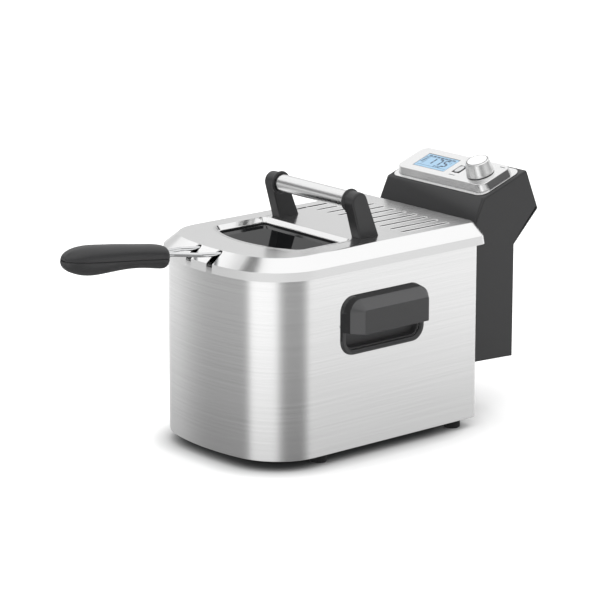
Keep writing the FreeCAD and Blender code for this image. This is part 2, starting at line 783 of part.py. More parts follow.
def cover_zone():
    """Space behind the joint between the case and the rear cover."""
    split = UNIT_REAR_Y - UNIT_COVER_SPLIT
    rise = UNIT_COVER_SPLIT / 2
    far = UNIT_TIP_Y + 10
    return yz_prism(
        [
            (split, UNIT_BOTTOM_Z - 20),
            (split, UNIT_NOTCH_Z + rise),
            (UNIT_TIP_Y - UNIT_COVER_SPLIT, UNIT_TIP_Z + rise),
            (far, UNIT_TIP_Z + rise),
            (far, UNIT_BOTTOM_Z - 20),
        ],
        UNIT_HALF + 1,
    )


def rail_channel(side, grow):
    x = side * RAIL_X
    half = RAIL_WIDTH / 2 + SLIDE_GAP + grow
    depth = RAIL_DEPTH + SLIDE_GAP + grow
    front = 0 if grow == 0 else FIT_GAP + SLIDE_GAP
    bottom = UNIT_BOTTOM_Z - 10 if grow == 0 else UNIT_BOTTOM_Z + 0.2
    return box(x - half, x + half, front, depth, bottom, RAIL_TOP_Z + SLIDE_GAP + grow)


def make_unit_case(shell):
    case = shell.cut(cover_zone())
    for side in (-1, 1):
        case = case.fuse(rail_channel(side, UNIT_WALL)).cut(rail_channel(side, 0))
    for post in board_posts():
        case = case.fuse(post)
    neck = box(-NECK_HALF, NECK_HALF, 0, 30, NECK_BOTTOM_Z, NECK_TOP_Z)
    case = case.cut(neck)
    return case.cut(panel_opening(-UNIT_WALL - 1, 1))


def make_rear_cover(shell):
    cover = shell.common(cover_zone())
    holes = [(x, z, COVER_SCREW_RADIUS) for x, z in cover_screw_places()]
    holes += [(GLAND_X, GLAND_Z, GLAND_RADIUS), (-GLAND_X, GLAND_Z, RESET_RADIUS + SLIDE_GAP)]
    for x, z, radius in holes:
        start = V(x, UNIT_REAR_Y - 2 * UNIT_COVER_SPLIT, z)
        cover = cover.cut(cylinder(radius, 3 * UNIT_COVER_SPLIT, start, REARWARD))
    return cover


def cover_screw_places():
    places = []
    x1 = UNIT_HALF - COVER_SCREW_INSET
    for x in (-x1, x1):
        for z in (UNIT_BOTTOM_Z + COVER_SCREW_INSET, UNIT_NOTCH_Z - COVER_SCREW_INSET):
            places.append((x, z))
    return places


def make_cover_screws():
    screws = []
    for x, z in cover_screw_places():
        head = cylinder(COVER_SCREW_HEAD_RADIUS, COVER_SCREW_HEAD, V(x, UNIT_REAR_Y, z), REARWARD)
        tip = V(x, UNIT_REAR_Y - COVER_SCREW_LENGTH, z)
        shank = cylinder(COVER_SCREW_RADIUS, COVER_SCREW_LENGTH, tip, REARWARD)
        screws.append(head.fuse(shank))
    return Part.makeCompound(screws)


def make_cord_gland():
    """Bush where the mains lead would enter."""
    outside = V(GLAND_X, UNIT_REAR_Y, GLAND_Z)
    gland = cylinder(GLAND_FLANGE, GLAND_FLANGE_THICKNESS, outside, REARWARD)
    inside = V(GLAND_X, UNIT_REAR_Y - GLAND_REACH, GLAND_Z)
    gland = gland.fuse(cylinder(GLAND_RADIUS, GLAND_REACH, inside, REARWARD))
    nut = V(GLAND_X, UNIT_REAR_Y - UNIT_WALL - GLAND_NUT, GLAND_Z)
    gland = gland.fuse(cylinder(GLAND_FLANGE, GLAND_NUT, nut, REARWARD))
    bore_length = GLAND_REACH + GLAND_FLANGE_THICKNESS + 2
    bore = cylinder(GLAND_BORE, bore_length, inside - REARWARD, REARWARD)
    return gland.cut(bore)


def make_reset_button():
    base = V(-GLAND_X, UNIT_REAR_Y - RESET_INSIDE, GLAND_Z)
    button = cylinder(RESET_RADIUS, RESET_LENGTH, base, REARWARD)
    stop = cylinder(RESET_RADIUS + 3 * SLIDE_GAP, RESET_STOP, base, REARWARD)
    return button.fuse(stop)


def make_thermal_cutout():
    """Manual-reset cutout behind the reset button."""
    y1 = UNIT_REAR_Y - RESET_INSIDE - RESET_TRAVEL - SLIDE_GAP
    body = cylinder(CUTOUT_RADIUS, CUTOUT_DEPTH, V(-GLAND_X, y1 - CUTOUT_DEPTH, GLAND_Z), REARWARD)
    reach = CUTOUT_RADIUS + 6
    half = CUTOUT_RADIUS / 2
    ears = box(-GLAND_X - reach, -GLAND_X + reach, y1 - 3, y1 - 2, GLAND_Z - half, GLAND_Z + half)
    return body.fuse(ears)


def make_panel_trim():
    trim = panel_block(-TRIM_HALF, TRIM_HALF, TRIM_V0, TRIM_V1, 0, TRIM_THICKNESS, TRIM_CORNER)
    return trim.cut(panel_opening(-1, TRIM_THICKNESS + 1))


def island_outline(offset, n):
    """The raised plate's outline, which widens towards its foot."""
    share = (ISLAND_HEIGHT - n) / (ISLAND_HEIGHT - TRIM_THICKNESS)
    grow = offset + ISLAND_DRAFT * share
    return panel_outline(
        -ISLAND_HALF - grow,
        ISLAND_HALF + grow,
        ISLAND_V0 - grow,
        ISLAND_V1 + grow,
        ISLAND_CORNER + grow,
        n,
    )


def make_panel_island():
    outer = loft(island_outline(0, TRIM_THICKNESS), island_outline(0, ISLAND_HEIGHT))
    top = ISLAND_HEIGHT - ISLAND_WALL
    inner = loft(island_outline(-ISLAND_WALL, TRIM_THICKNESS - 0.01), island_outline(-ISLAND_WALL, top))
    island = outer.cut(inner)
    lcd = panel_block(*lcd_range(0.0), top - 1, ISLAND_HEIGHT + 1)
    shaft = panel_cylinder(KNOB_U, KNOB_V, KNOB_SHAFT_RADIUS + 1.0, top - 1, ISLAND_HEIGHT + 1)
    return island.cut(lcd).cut(shaft).cut(button_block(SLIDE_GAP, top - 1, ISLAND_HEIGHT + 1))


def lcd_range(margin):
    return (
        LCD_U - LCD_WIDTH / 2 - margin,
        LCD_U + LCD_WIDTH / 2 + margin,
        LCD_V - LCD_HEIGHT / 2 - margin,
        LCD_V + LCD_HEIGHT / 2 + margin,
    )


def button_block(grow, n0, n1):
    """Pill-shaped column of the menu button."""
    u0 = BUTTON_U - BUTTON_WIDTH / 2 - grow
    u1 = BUTTON_U + BUTTON_WIDTH / 2 + grow
    v0 = BUTTON_V - BUTTON_LENGTH / 2 - grow
    v1 = BUTTON_V + BUTTON_LENGTH / 2 + grow
    radius = BUTTON_WIDTH / 2 + grow - 0.01
    return panel_block(u0, u1, v0, v1, n0, n1, radius)


def make_lcd_lens():
    return panel_block(*lcd_range(0.0), ISLAND_HEIGHT - LCD_LENS, ISLAND_HEIGHT - 0.1)


def make_lcd_module():
    top = ISLAND_HEIGHT - LCD_LENS
    return panel_block(*lcd_range(LCD_MODULE_MARGIN), top - LCD_MODULE_DEPTH, top)


def make_display_board():
    """Board under the panel with the display's spacer and the button's switch."""
    half = OPENING_HALF - BOARD_MARGIN
    v0 = OPENING_V0 + BOARD_MARGIN
    v1 = OPENING_V1 - BOARD_MARGIN
    board = panel_block(-half, half, v0, v1, -BOARD_DEPTH, -BOARD_DEPTH + BOARD_THICKNESS, 1)
    spacer_top = ISLAND_HEIGHT - LCD_LENS - LCD_MODULE_DEPTH
    spacer = panel_block(*lcd_range(-LCD_HEIGHT / 5), -BOARD_DEPTH, spacer_top)
    switch = panel_cylinder(BUTTON_U, BUTTON_V, BUTTON_WIDTH / 2, -BOARD_DEPTH, 0.0)
    return board.fuse(spacer).fuse(switch)


def make_encoder():
    base = -BOARD_DEPTH + BOARD_THICKNESS
    body = panel_block(KNOB_U - 6.5, KNOB_U + 6.5, KNOB_V - 6.5, KNOB_V + 6.5, base, 4.0)
    bush = panel_cylinder(KNOB_U, KNOB_V, KNOB_SHAFT_RADIUS + 0.9, 4.0, ISLAND_HEIGHT - 0.2)
    bore = panel_cylinder(KNOB_U, KNOB_V, KNOB_SHAFT_RADIUS + RUN_GAP, 0, ISLAND_HEIGHT)
    return body.fuse(bush).cut(bore)


def make_menu_button():
    top = ISLAND_HEIGHT + BUTTON_RISE
    cap = button_block(0, BUTTON_TRAVEL + 4, top)
    skirt = button_block(1.6, BUTTON_TRAVEL + 4, BUTTON_TRAVEL + 5.2)
    stem = panel_cylinder(BUTTON_U, BUTTON_V, 2.0, BUTTON_TRAVEL + 0.3, BUTTON_TRAVEL + 4)
    return cap.fuse(skirt).fuse(stem)


def knob_base():
    return ISLAND_HEIGHT + KNOB_CLEARANCE


def make_knob_body():
    """Tapered spun-metal cap with a chamfered top edge."""
    n0 = knob_base()
    n1 = n0 + KNOB_HEIGHT
    shoulder = n1 - KNOB_CHAMFER
    body = panel_cone(KNOB_U, KNOB_V, KNOB_RADIUS, KNOB_TOP_RADIUS, n0, shoulder)
    brow = KNOB_CAP_RADIUS + KNOB_CHAMFER / 2
    body = body.fuse(panel_cone(KNOB_U, KNOB_V, KNOB_TOP_RADIUS, brow, shoulder, n1))
    lower = KNOB_RADIUS - KNOB_WALL
    upper = KNOB_TOP_RADIUS - KNOB_WALL
    inner = panel_cone(KNOB_U, KNOB_V, lower, upper, n0, n1 - KNOB_ROOF)
    recess = panel_cylinder(KNOB_U, KNOB_V, KNOB_CAP_RADIUS, n1 - KNOB_CAP_DEPTH, n1 + 1)
    return body.cut(inner).cut(recess)


def make_knob_cap():
    """Dished disc let into the knob's top."""
    n1 = knob_base() + KNOB_HEIGHT
    disc = panel_cylinder(KNOB_U, KNOB_V, KNOB_CAP_RADIUS, n1 - KNOB_CAP_DEPTH, n1 - 0.1)
    deepest = n1 - KNOB_CAP_DEPTH / 2
    centre = panel_point(KNOB_U, KNOB_V, deepest + KNOB_DISH_RADIUS)
    return disc.cut(Part.makeSphere(KNOB_DISH_RADIUS, centre))


def make_knob_core():
    """Moulded hub that grips the encoder shaft, with the shaft in it."""
    n0 = knob_base()
    n1 = n0 + KNOB_HEIGHT - KNOB_ROOF
    lower = KNOB_RADIUS - KNOB_WALL - 2.0
    upper = KNOB_TOP_RADIUS - KNOB_WALL - 2.0
    hub = panel_cone(KNOB_U, KNOB_V, lower, upper, n0 + 1, n1)
    ring_radius = KNOB_RADIUS - KNOB_WALL - FIT_GAP
    ring = panel_cylinder(KNOB_U, KNOB_V, ring_radius, ISLAND_HEIGHT + REST_GAP, n0 + 1)
    shaft = panel_cylinder(KNOB_U, KNOB_V, KNOB_SHAFT_RADIUS, 1.0, n0 + 1)
    clear = panel_cylinder(KNOB_U, KNOB_V, KNOB_SHAFT_RADIUS + 3.0, ISLAND_HEIGHT, n0 + 0.5)
    return hub.fuse(ring).cut(clear).fuse(shaft)


def make_power_board():
    """Board with its relay, transformer and capacitor."""
    face = BOARD_Y + BOARD_THICKNESS
    board = box(-BOARD_HALF, BOARD_HALF, BOARD_Y, face, BOARD_Z0, BOARD_Z1)
    relay = box(-45, -17, face, face + RELAY_HEIGHT, BOARD_Z1 - 46, BOARD_Z1 - 16)
    transformer = box(-2, 34, face, face + TRANSFORMER_HEIGHT, BOARD_Z0 + 20, BOARD_Z0 + 50)
    capacitor = cylinder(6, CAPACITOR_HEIGHT, V(BOARD_HALF - 12, face, BOARD_Z1 - 26), REARWARD)
    return board.fuse(relay).fuse(transformer).fuse(capacitor)


def board_posts():
    """Moulded posts between the case's front wall and the power board."""
    front = FIT_GAP + SLIDE_GAP + UNIT_WALL / 2
    posts = []
    x1 = BOARD_HALF - BOARD_POST_INSET
    for x in (-x1, x1):
        for z in (BOARD_Z0 + BOARD_POST_INSET, BOARD_Z1 - BOARD_POST_INSET):
            posts.append(cylinder(BOARD_POST_RADIUS, BOARD_Y - front, V(x, front, z), REARWARD))
    return posts


def make_terminal_block():
    return box(-TERMINAL_HALF, TERMINAL_HALF, *TERMINAL_Y, *TERMINAL_Z)


def make_safety_switch():
    """Microswitch that the right-hand rail presses through the channel wall."""
    x0 = RAIL_X + RAIL_WIDTH / 2 + SLIDE_GAP + UNIT_WALL + REST_GAP
    width, depth, height = SWITCH_BODY
    body = box(x0, x0 + width, SWITCH_Y, SWITCH_Y + depth, SWITCH_Z, SWITCH_Z + height)
    lever = box(x0 - REST_GAP, x0, SWITCH_Y + 1, SWITCH_Y + 3, SWITCH_Z + 2, SWITCH_Z + height - 2)
    return body.fuse(lever)


# ---------------------------------------------------------------- heating element
def element_points():
    top = (NECK_BOTTOM_Z + NECK_TOP_Z) / 2
    right = [
        V(TUBE_X, 30, top),
        V(TUBE_X, TUBE_DROP_Y, top),
        V(TUBE_X, TUBE_DROP_Y, TUBE_FLOOR_Z),
        V(TUBE_X, LOOP_REAR_Y, TUBE_FLOOR_Z),
        V(LOOP_OUTER_X, LOOP_REAR_Y, TUBE_FLOOR_Z),
        V(LOOP_OUTER_X, LOOP_FRONT_Y, TUBE_FLOOR_Z),
        V(LOOP_INNER_X, LOOP_FRONT_Y, TUBE_FLOOR_Z),
        V(LOOP_INNER_X, LOOP_RETURN_Y, TUBE_FLOOR_Z),
    ]
    left = [V(-p.x, p.y, p.z) for p in reversed(right)]
    return right + left


def make_heating_element():
    return tube(element_points(), TUBE_RADIUS, TUBE_BEND)


def make_element_neck():
    """Sheet duct that carries the element and probe over the rim."""
    outer = yz_prism(
        [
            (UNIT_STEP_Y + UNIT_WALL + 6, NECK_TOP_Z),
            (NECK_FRONT_Y, NECK_TOP_Z),
            (NECK_FRONT_Y, NECK_FOOT_Z),
            (NECK_BACK_Y, NECK_FOOT_Z),
            (NECK_BACK_Y, NECK_BOTTOM_Z),
            (UNIT_STEP_Y + UNIT_WALL + 6, NECK_BOTTOM_Z),
        ],
        NECK_HALF,
    )
    inner = yz_prism(
        [
            (UNIT_STEP_Y + UNIT_WALL + 7, NECK_TOP_Z - NECK_SHEET),
            (NECK_FRONT_Y + NECK_SHEET, NECK_TOP_Z - NECK_SHEET),
            (NECK_FRONT_Y + NECK_SHEET, NECK_FOOT_Z - 1),
            (NECK_BACK_Y - NECK_SHEET, NECK_FOOT_Z - 1),
            (NECK_BACK_Y - NECK_SHEET, NECK_BOTTOM_Z + NECK_SHEET),
            (UNIT_STEP_Y + UNIT_WALL + 7, NECK_BOTTOM_Z + NECK_SHEET),
        ],
        NECK_HALF - NECK_SHEET,
    )
    return outer.cut(inner)


def make_temperature_probe():
    """Thermostat bulb beside the element, on its capillary."""
    top = (NECK_BOTTOM_Z + NECK_TOP_Z) / 2
    points = [
        V(0, 30, top),
        V(0, TUBE_DROP_Y, top),
        V(0, TUBE_DROP_Y, PROBE_Z),
        V(0, LOOP_REAR_Y, PROBE_Z),
    ]
    capillary = tube(points, CAPILLARY_RADIUS, 6 * CAPILLARY_RADIUS)
    bulb = cylinder(PROBE_RADIUS, PROBE_LENGTH, points[-1], V(0, -1, 0))
    return capillary.fuse(bulb)


def make_probe_clip():
    """Strap across the inner loop that holds the probe bulb."""
    y = PROBE_CLIP_Y
    z0 = TUBE_FLOOR_Z + TUBE_RADIUS
    z1 = z0 + 1.2
    strap = box(-LOOP_INNER_X - 3, LOOP_INNER_X + 3, y - 4, y + 4, z0, z1)
    half = PROBE_RADIUS + 1.2
    saddle = box(-half, half, y - 4, y + 4, z1, PROBE_Z + 1.5)
    hole = cylinder(PROBE_RADIUS, 10, V(0, y + 5, PROBE_Z), V(0, -1, 0))
    return strap.fuse(saddle).cut(hole)


# ---------------------------------------------------------------- basket
def basket_wire(offset, z):
    """The basket's outline, offset outwards (negative inwards)."""
    corner = BASKET_REAR_RADIUS + offset
    return housing_wire(-BASKET_INSET + offset, z, BASKET_REAR_Y + offset, corner)


def basket_prism(offset, z0, z1):
    return prism(basket_wire(offset, z0), z1 - z0)


def make_basket_mesh():
    """Tray with the outer shape of the wire mesh."""
    outer = basket_prism(0, BASKET_FLOOR_Z, BASKET_TOP_Z)
    outer = outer.makeFillet(BASKET_ROUND, bottom_edges(outer, BASKET_FLOOR_Z))
    floor = BASKET_FLOOR_Z + BASKET_WALL
    inner = basket_prism(-BASKET_WALL, floor, BASKET_TOP_Z + 1)
    inner = inner.makeFillet(BASKET_ROUND - BASKET_WALL, bottom_edges(inner, floor))
    return outer.cut(inner)


def make_basket_rim():
    reach = 2 * BASKET_WIRE_RADIUS
    top = BASKET_TOP_Z + BASKET_RIM_HEIGHT
    ring = basket_prism(reach, BASKET_TOP_Z, top)
    return ring.cut(basket_prism(-BASKET_WALL, BASKET_TOP_Z - 1, top + 1))


def hoop_front_y(x):
    """Front of the basket's outline at a given x, on the bowed stretch."""
    radius = FRONT_BOW_RADIUS - BASKET_INSET
    return -HOUSING_LENGTH + FRONT_BOW_RADIUS - math.sqrt(radius**2 - x**2)


def make_basket_frame():
    """Hoops that run down the front, under the floor and up the rear."""
    gap = BASKET_WIRE_RADIUS + FIT_GAP / 3
    hoops = []
    for x in BASKET_HOOP_X:
        front = hoop_front_y(x) - gap
        rear = BASKET_REAR_Y + gap
        low = BASKET_FLOOR_Z - gap
        top = BASKET_TOP_Z
        points = [V(x, front, top), V(x, front, low), V(x, rear, low), V(x, rear, top)]
        hoops.append(tube(points, BASKET_WIRE_RADIUS, BASKET_ROUND * 0.8))
    return Part.makeCompound(hoops)


def make_basket_bracket():
    """Plate on the basket's front with two sockets for the handle's wires."""
    inner_y = -HOUSING_LENGTH + BASKET_INSET + BASKET_WALL + 2.0
    plate_top = handle_axis(inner_y).z - WIRE_RADIUS
    rear_y = inner_y + BRACKET_SHEET
    plate = box(-BRACKET_HALF, BRACKET_HALF, inner_y, rear_y, BRACKET_BOTTOM_Z, plate_top)
    rim_top = BASKET_TOP_Z + BASKET_RIM_HEIGHT
    tongue_top = rim_top + BRACKET_SHEET
    tongue = box(-BRACKET_HALF, BRACKET_HALF, inner_y - 5.5, rear_y, rim_top, tongue_top)
    bracket = plate.fuse(tongue)
    direction = V(0, -math.cos(RISE), math.sin(RISE))
    length = (WIRE_TUBE_REAR - WIRE_TUBE_FRONT) / math.cos(RISE)
    for side in (-1, 1):
        start = handle_axis(WIRE_TUBE_REAR, side * WIRE_X)
        bracket = bracket.fuse(cylinder(BRACKET_TUBE_RADIUS, length, start, direction))
    for side in (-1, 1):
        start = handle_axis(WIRE_TUBE_REAR + 5, side * WIRE_X)
        bracket = bracket.cut(cylinder(WIRE_RADIUS + RUN_GAP, length + 12, start, direction))
    return bracket


# ---------------------------------------------------------------- basket handle
def make_handle_wires():
    """Two bright wires that splay from the grip to the sockets."""
    wires = []
    for side in (-1, 1):
        points = [
            handle_axis(WIRE_TUBE_REAR - 1.0, side * WIRE_X),
            handle_axis(WIRE_BEND_Y, side * WIRE_X),
            handle_axis(WIRE_GRIP_Y, side * WIRE_GRIP_X),
            handle_axis(GRIP_INNER_Y - GRIP_BORE + 8, side * WIRE_GRIP_X),
        ]
        wires.append(tube(points, WIRE_RADIUS, WIRE_BEND))
    return Part.makeCompound(wires)


def grip_section(share, breadth, height, lift):
    """Rounded section of the grip across its axis."""
    y = GRIP_INNER_Y + share * (GRIP_TIP_Y - GRIP_INNER_Y)
    up = V(0, math.sin(RISE), math.cos(RISE))
    centre = handle_axis(y, 0, GRIP_DROP) + up * lift
    radius = 0.45 * min(breadth, height)

    def place(u, v):
        return centre + RIGHTWARD * u + up * v

    return rounded_rectangle(-breadth / 2, breadth / 2, -height / 2, height / 2, radius, place)


def grip_solid():
    solid = Part.makeLoft([grip_section(*section) for section in GRIP_SECTIONS], True, False)
    direction = V(0, -math.cos(RISE), math.sin(RISE))
    length = (GRIP_BORE + 2) / math.cos(RISE)
    for side in (-1, 1):
        start = handle_axis(GRIP_INNER_Y + 10, side * WIRE_GRIP_X)
        solid = solid.cut(cylinder(WIRE_RADIUS, length, start, direction))
    return solid


def seam_block():
    """Everything above the grip's seam, which follows the grip's axis."""
    centre = handle_axis((GRIP_INNER_Y + GRIP_TIP_Y) / 2, 0, GRIP_DROP)
    reach = GRIP_INNER_Y - GRIP_TIP_Y
    block = box(-60, 60, centre.y - reach, centre.y + reach, centre.z, centre.z + 80)
    block.rotate(centre, RIGHTWARD, -HANDLE_RISE)
    return block


def make_grip_screw():
    """Screw from above that joins the grip's halves, under its top skin."""
    base = handle_axis(GRIP_SCREW_Y, 0, GRIP_DROP + 11.0)
    up = V(0, math.sin(RISE), math.cos(RISE))
    return cylinder(3.0, 2.0, base, up).fuse(cylinder(1.5, 16.0, base, up))


# ---------------------------------------------------------------- lid
def lid_solid(inset):
    """The lid's outer shape, or its inside when set in by the sheet."""
    reach = LID_OVERHANG - inset
    rear = LID_REAR_OVERHANG - inset
    corner = LID_REAR_CORNER - inset
    shoulder = SKIRT_TOP_Z - inset * 0.4
    top = LID_TOP_Z - inset
    skirt = loft(
        housing_wire(reach, SKIRT_BOTTOM_Z - inset, rear, corner),
        housing_wire(reach - SKIRT_DRAFT, shoulder, rear - SKIRT_DRAFT, corner),
    )
    dome = loft(
        housing_wire(reach - SKIRT_DRAFT, shoulder, rear - SKIRT_DRAFT, corner),
        housing_wire(reach - CHAMFER_WIDTH, top, rear - CHAMFER_REAR_WIDTH, corner),
    )
    return skirt.fuse(dome)


def notch_cutter(z0, z1):
    """Slots that let the basket handle's wires through the lid's front."""
    front = -HOUSING_LENGTH - LID_OVERHANG - 2
    rear = -HOUSING_LENGTH - LID_OVERHANG + CHAMFER_WIDTH + 1.4
    cutters = []
    for side in (-1, 1):
        x = side * WIRE_X
        cutters.append(slot(x, front - NOTCH_WIDTH, rear, NOTCH_WIDTH, z0, z1))
    return cutters[0].fuse(cutters[1])


def neck_cutter(z0, z1):
    """Space for the element's neck at the rear."""
    half = NECK_HALF + 10 * SLIDE_GAP
    return box(-half, half, NECK_FRONT_Y - 12 * SLIDE_GAP, LID_REAR_OVERHANG + 5, z0, z1)


def post_screw_places():
    x = POST_OUTER_X - POST_THICKNESS / 2
    y = (POST_FRONT_Y + POST_REAR_Y) / 2
    return [(-x, y), (x, y)]


def make_lid_shell():
    shell = lid_solid(0).cut(lid_solid(LID_SHEET))
    shell = shell.cut(window_prism(0, LID_INNER_Z - 2, LID_TOP_Z + 1))
    for index in range(VENTS):
        x = (index - (VENTS - 1) / 2) * VENT_PITCH
        shell = shell.cut(slot(x, VENT_FRONT_Y, VENT_REAR_Y, VENT_WIDTH, LID_INNER_Z - 1, LID_TOP_Z + 1))
    shell = shell.cut(notch_cutter(SKIRT_BOTTOM_Z - 2, LID_TOP_Z + 1))
    rear_gap = neck_cutter(SKIRT_BOTTOM_Z - 2, NECK_TOP_Z + 1.0)
    shell = shell.cut(rear_gap)
    for x, y in post_screw_places():
        shell = shell.cut(cylinder(LID_SCREW_RADIUS, 4, V(x, y, LID_INNER_Z - 1)))
    return shell


def make_window_frame():
    """Rolled bright edge of the window recess, with a flange over the glass."""
    low = LID_TOP_Z - FRAME_DEPTH
    ridge_top = LID_TOP_Z + FRAME_RIDGE
    wall = window_prism(0, low, LID_TOP_Z)
    ridge = window_prism(FRAME_RIDGE_WIDTH, LID_TOP_Z, ridge_top)
    sloped = loft(
        window_wire(-FRAME_LIP - FRAME_SLOPE, low + FRAME_FLOOR),
        window_wire(-FRAME_LIP, ridge_top),
    )
    hole = window_prism(-FRAME_REACH, low - 1, ridge_top)
    return wall.fuse(ridge).cut(sloped).cut(hole)


def window_stack_z():
    """Levels below the frame: seal, glass and retainer."""
    frame_low = LID_TOP_Z - FRAME_DEPTH
    seal_low = frame_low - SEAL_THICKNESS
    glass_low = seal_low - GLASS_THICKNESS
    return frame_low, seal_low, glass_low, glass_low - RETAINER_THICKNESS


def make_window_seal():
    high, low, _, _ = window_stack_z()
    ring = window_prism(-REST_GAP, low, high)
    return ring.cut(window_prism(-FRAME_REACH, low - 1, high + 1))


def make_window_glass():
    _, high, low, _ = window_stack_z()
    return window_prism(-REST_GAP, low, high)


def make_glass_retainer():
    """Ring under the glass, carried from the lid's top by its upstand."""
    _, glass_top, glass_low, low = window_stack_z()
    ring = window_prism(RETAINER_WIDTH, low, glass_low)
    ring = ring.cut(window_prism(-RETAINER_WIDTH, low - 1, glass_low + 1))
    upstand = window_prism(RETAINER_WIDTH, glass_low, LID_INNER_Z)
    hollow = RETAINER_WIDTH - RETAINER_UPSTAND
    upstand = upstand.cut(window_prism(hollow, glass_low - 1, LID_INNER_Z + 1))
    return ring.fuse(upstand)


def make_lid_liner():
    low = BOWL_FLANGE_TOP_Z + REST_GAP
    top = low + LINER_SHEET
    corner = LINER_HOLE_CORNER
    plate = housing_prism(LINER_OUTSET, low, top, rear_y=LID_REAR_OVERHANG - LINER_REAR_STEP)
    front_hole = housing_prism(-LINER_INSET, low - 1, top + 1, LINER_BRIDGE_FRONT_Y, corner)
    half = FILTER_HALF + FILTER_FRAME + 1
    rear = FILTER_REAR_Y + FILTER_FRAME
    rear_hole = flat_rounded_box(-half, half, LINER_BRIDGE_REAR_Y, rear, low - 1, top + 1, corner)
    liner = plate.cut(front_hole).cut(rear_hole)
    liner = liner.cut(neck_cutter(low - 1, top + 1))
    rear = -HOUSING_LENGTH + LINER_INSET + 2
    front = -HOUSING_LENGTH - LID_OVERHANG - 4
    half = WIRE_X + NOTCH_WIDTH / 2
    liner = liner.cut(box(-half, half, front, rear, low - 1, top + 1))
    for x, y in liner_post_places():
        liner = liner.fuse(cylinder(LINER_POST_RADIUS, LID_INNER_Z - low, V(x, y, low)))
    return liner


def liner_post_places():
    middle = (LINER_BRIDGE_FRONT_Y + LINER_BRIDGE_REAR_Y) / 2
    side = HOUSING_WIDTH / 2 - LINER_INSET + 2.0
    return [(x, middle) for x in (-side, -LINER_POST_X, LINER_POST_X, side)]


def filter_block(grow, z0, z1):
    """Rounded block over the filter's outline, grown by a margin."""
    half = FILTER_HALF + grow
    corner = FILTER_CORNER + max(grow, 0)
    return flat_rounded_box(-half, half, FILTER_FRONT_Y - grow, FILTER_REAR_Y + grow, z0, z1, corner)


def make_filter_mesh():
    top = LID_INNER_Z - REST_GAP
    return filter_block(0, top - FILTER_THICKNESS, top - REST_GAP)


def make_filter_holder():
    """Tray that clips the filter under the vents."""
    top = LID_INNER_Z - REST_GAP
    seat = top - FILTER_THICKNESS
    low = seat - FILTER_FLOOR
    tray = filter_block(FILTER_FRAME, low, top)
    return tray.cut(filter_block(0, seat, top + 1)).cut(filter_block(-FILTER_LIP, low - 1, top))


def tangent_point(base, centre, radius, side):
    """Where a line from base touches a circle in the YZ plane, on the rear (+1) or front (-1)."""
    arm = base - centre
    turn = side * math.acos(radius / arm.Length)
    y = arm.y * math.cos(turn) - arm.z * math.sin(turn)
    z = arm.y * math.sin(turn) + arm.z * math.cos(turn)
    return centre + V(0, y, z) * (radius / arm.Length)


def make_handle_post(side):
    """Leaning post of the lid's handle with a boss for the bar."""
    x0 = POST_OUTER_X - POST_THICKNESS
    x1 = POST_OUTER_X
    centre = V(x0, BAR_Y, BAR_Z)
    front = V(x0, POST_FRONT_Y, LID_TOP_Z)
    rear = V(x0, POST_REAR_Y, LID_TOP_Z)
    rear_touch = tangent_point(rear, centre, LEG_TOP_RADIUS, 1)
    front_touch = tangent_point(front, centre, LEG_TOP_RADIUS, -1)
    outline = Part.makePolygon([front, rear, rear_touch, centre, front_touch, front])
    leg = Part.Face(outline).extrude(V(x1 - x0, 0, 0))
    leg = leg.fuse(cylinder(LEG_TOP_RADIUS, x1 - x0, centre, RIGHTWARD)).removeSplitter()
    outer = [e for e in leg.Edges if e.BoundBox.XMin > x1 - 0.01]
    leg = leg.makeFillet(POST_ROUND, [e for e in outer if e.BoundBox.ZMax > LID_TOP_Z + 0.1])
    inner_end = V(POST_BOSS_X, BAR_Y, BAR_Z)
    post = leg.fuse(cylinder(BOSS_RADIUS, x0 - POST_BOSS_X, inner_end, RIGHTWARD))
    bore = cylinder(BAR_RADIUS, BAR_SOCKET, inner_end, RIGHTWARD)
    post = post.cut(bore)
    x, y = post_screw_places()[1]
    post = post.cut(cylinder(LID_SCREW_RADIUS, LID_SCREW_REACH, V(x, y, LID_TOP_Z)))
    return post if side > 0 else mirrored(post)


def make_handle_bar():
    half = POST_BOSS_X + BAR_SOCKET
    return cylinder(BAR_RADIUS, 2 * half, V(-half, BAR_Y, BAR_Z), RIGHTWARD)


def make_lid_screws():
    screws = []
    for x, y in post_screw_places():
        head = cylinder(LID_SCREW_HEAD_RADIUS, LID_SCREW_HEAD, V(x, y, LID_INNER_Z - LID_SCREW_HEAD))
        shank = cylinder(LID_SCREW_RADIUS, LID_SHEET + LID_SCREW_REACH - 1, V(x, y, LID_INNER_Z))
        screws.append(head.fuse(shank))
    return Part.makeCompound(screws)


# ---------------------------------------------------------------- build
def build_housing():
    export("outer_housing", drill_screw_holes(make_outer_housing()))
    export("floor_plate", make_floor_plate())
    for name, (x, y) in foot_places().items():
        export(name, make_foot(x, y))
    export("foot_screws", make_foot_screws())
    export("rim_collar", make_rim_collar())
    export("heat_shield", make_heat_shield())
    handle = make_side_handle()
    export("side_handle_right", handle)
    export("side_handle_left", mirrored(handle))
    cup = make_side_cup()
    export("side_cup_right", cup)
    export("side_cup_left", mirrored(cup))
    export("side_handle_screws", make_handle_screws())
    export("guide_rail_right", make_guide_rail(1))
    export("guide_rail_left", make_guide_rail(-1))


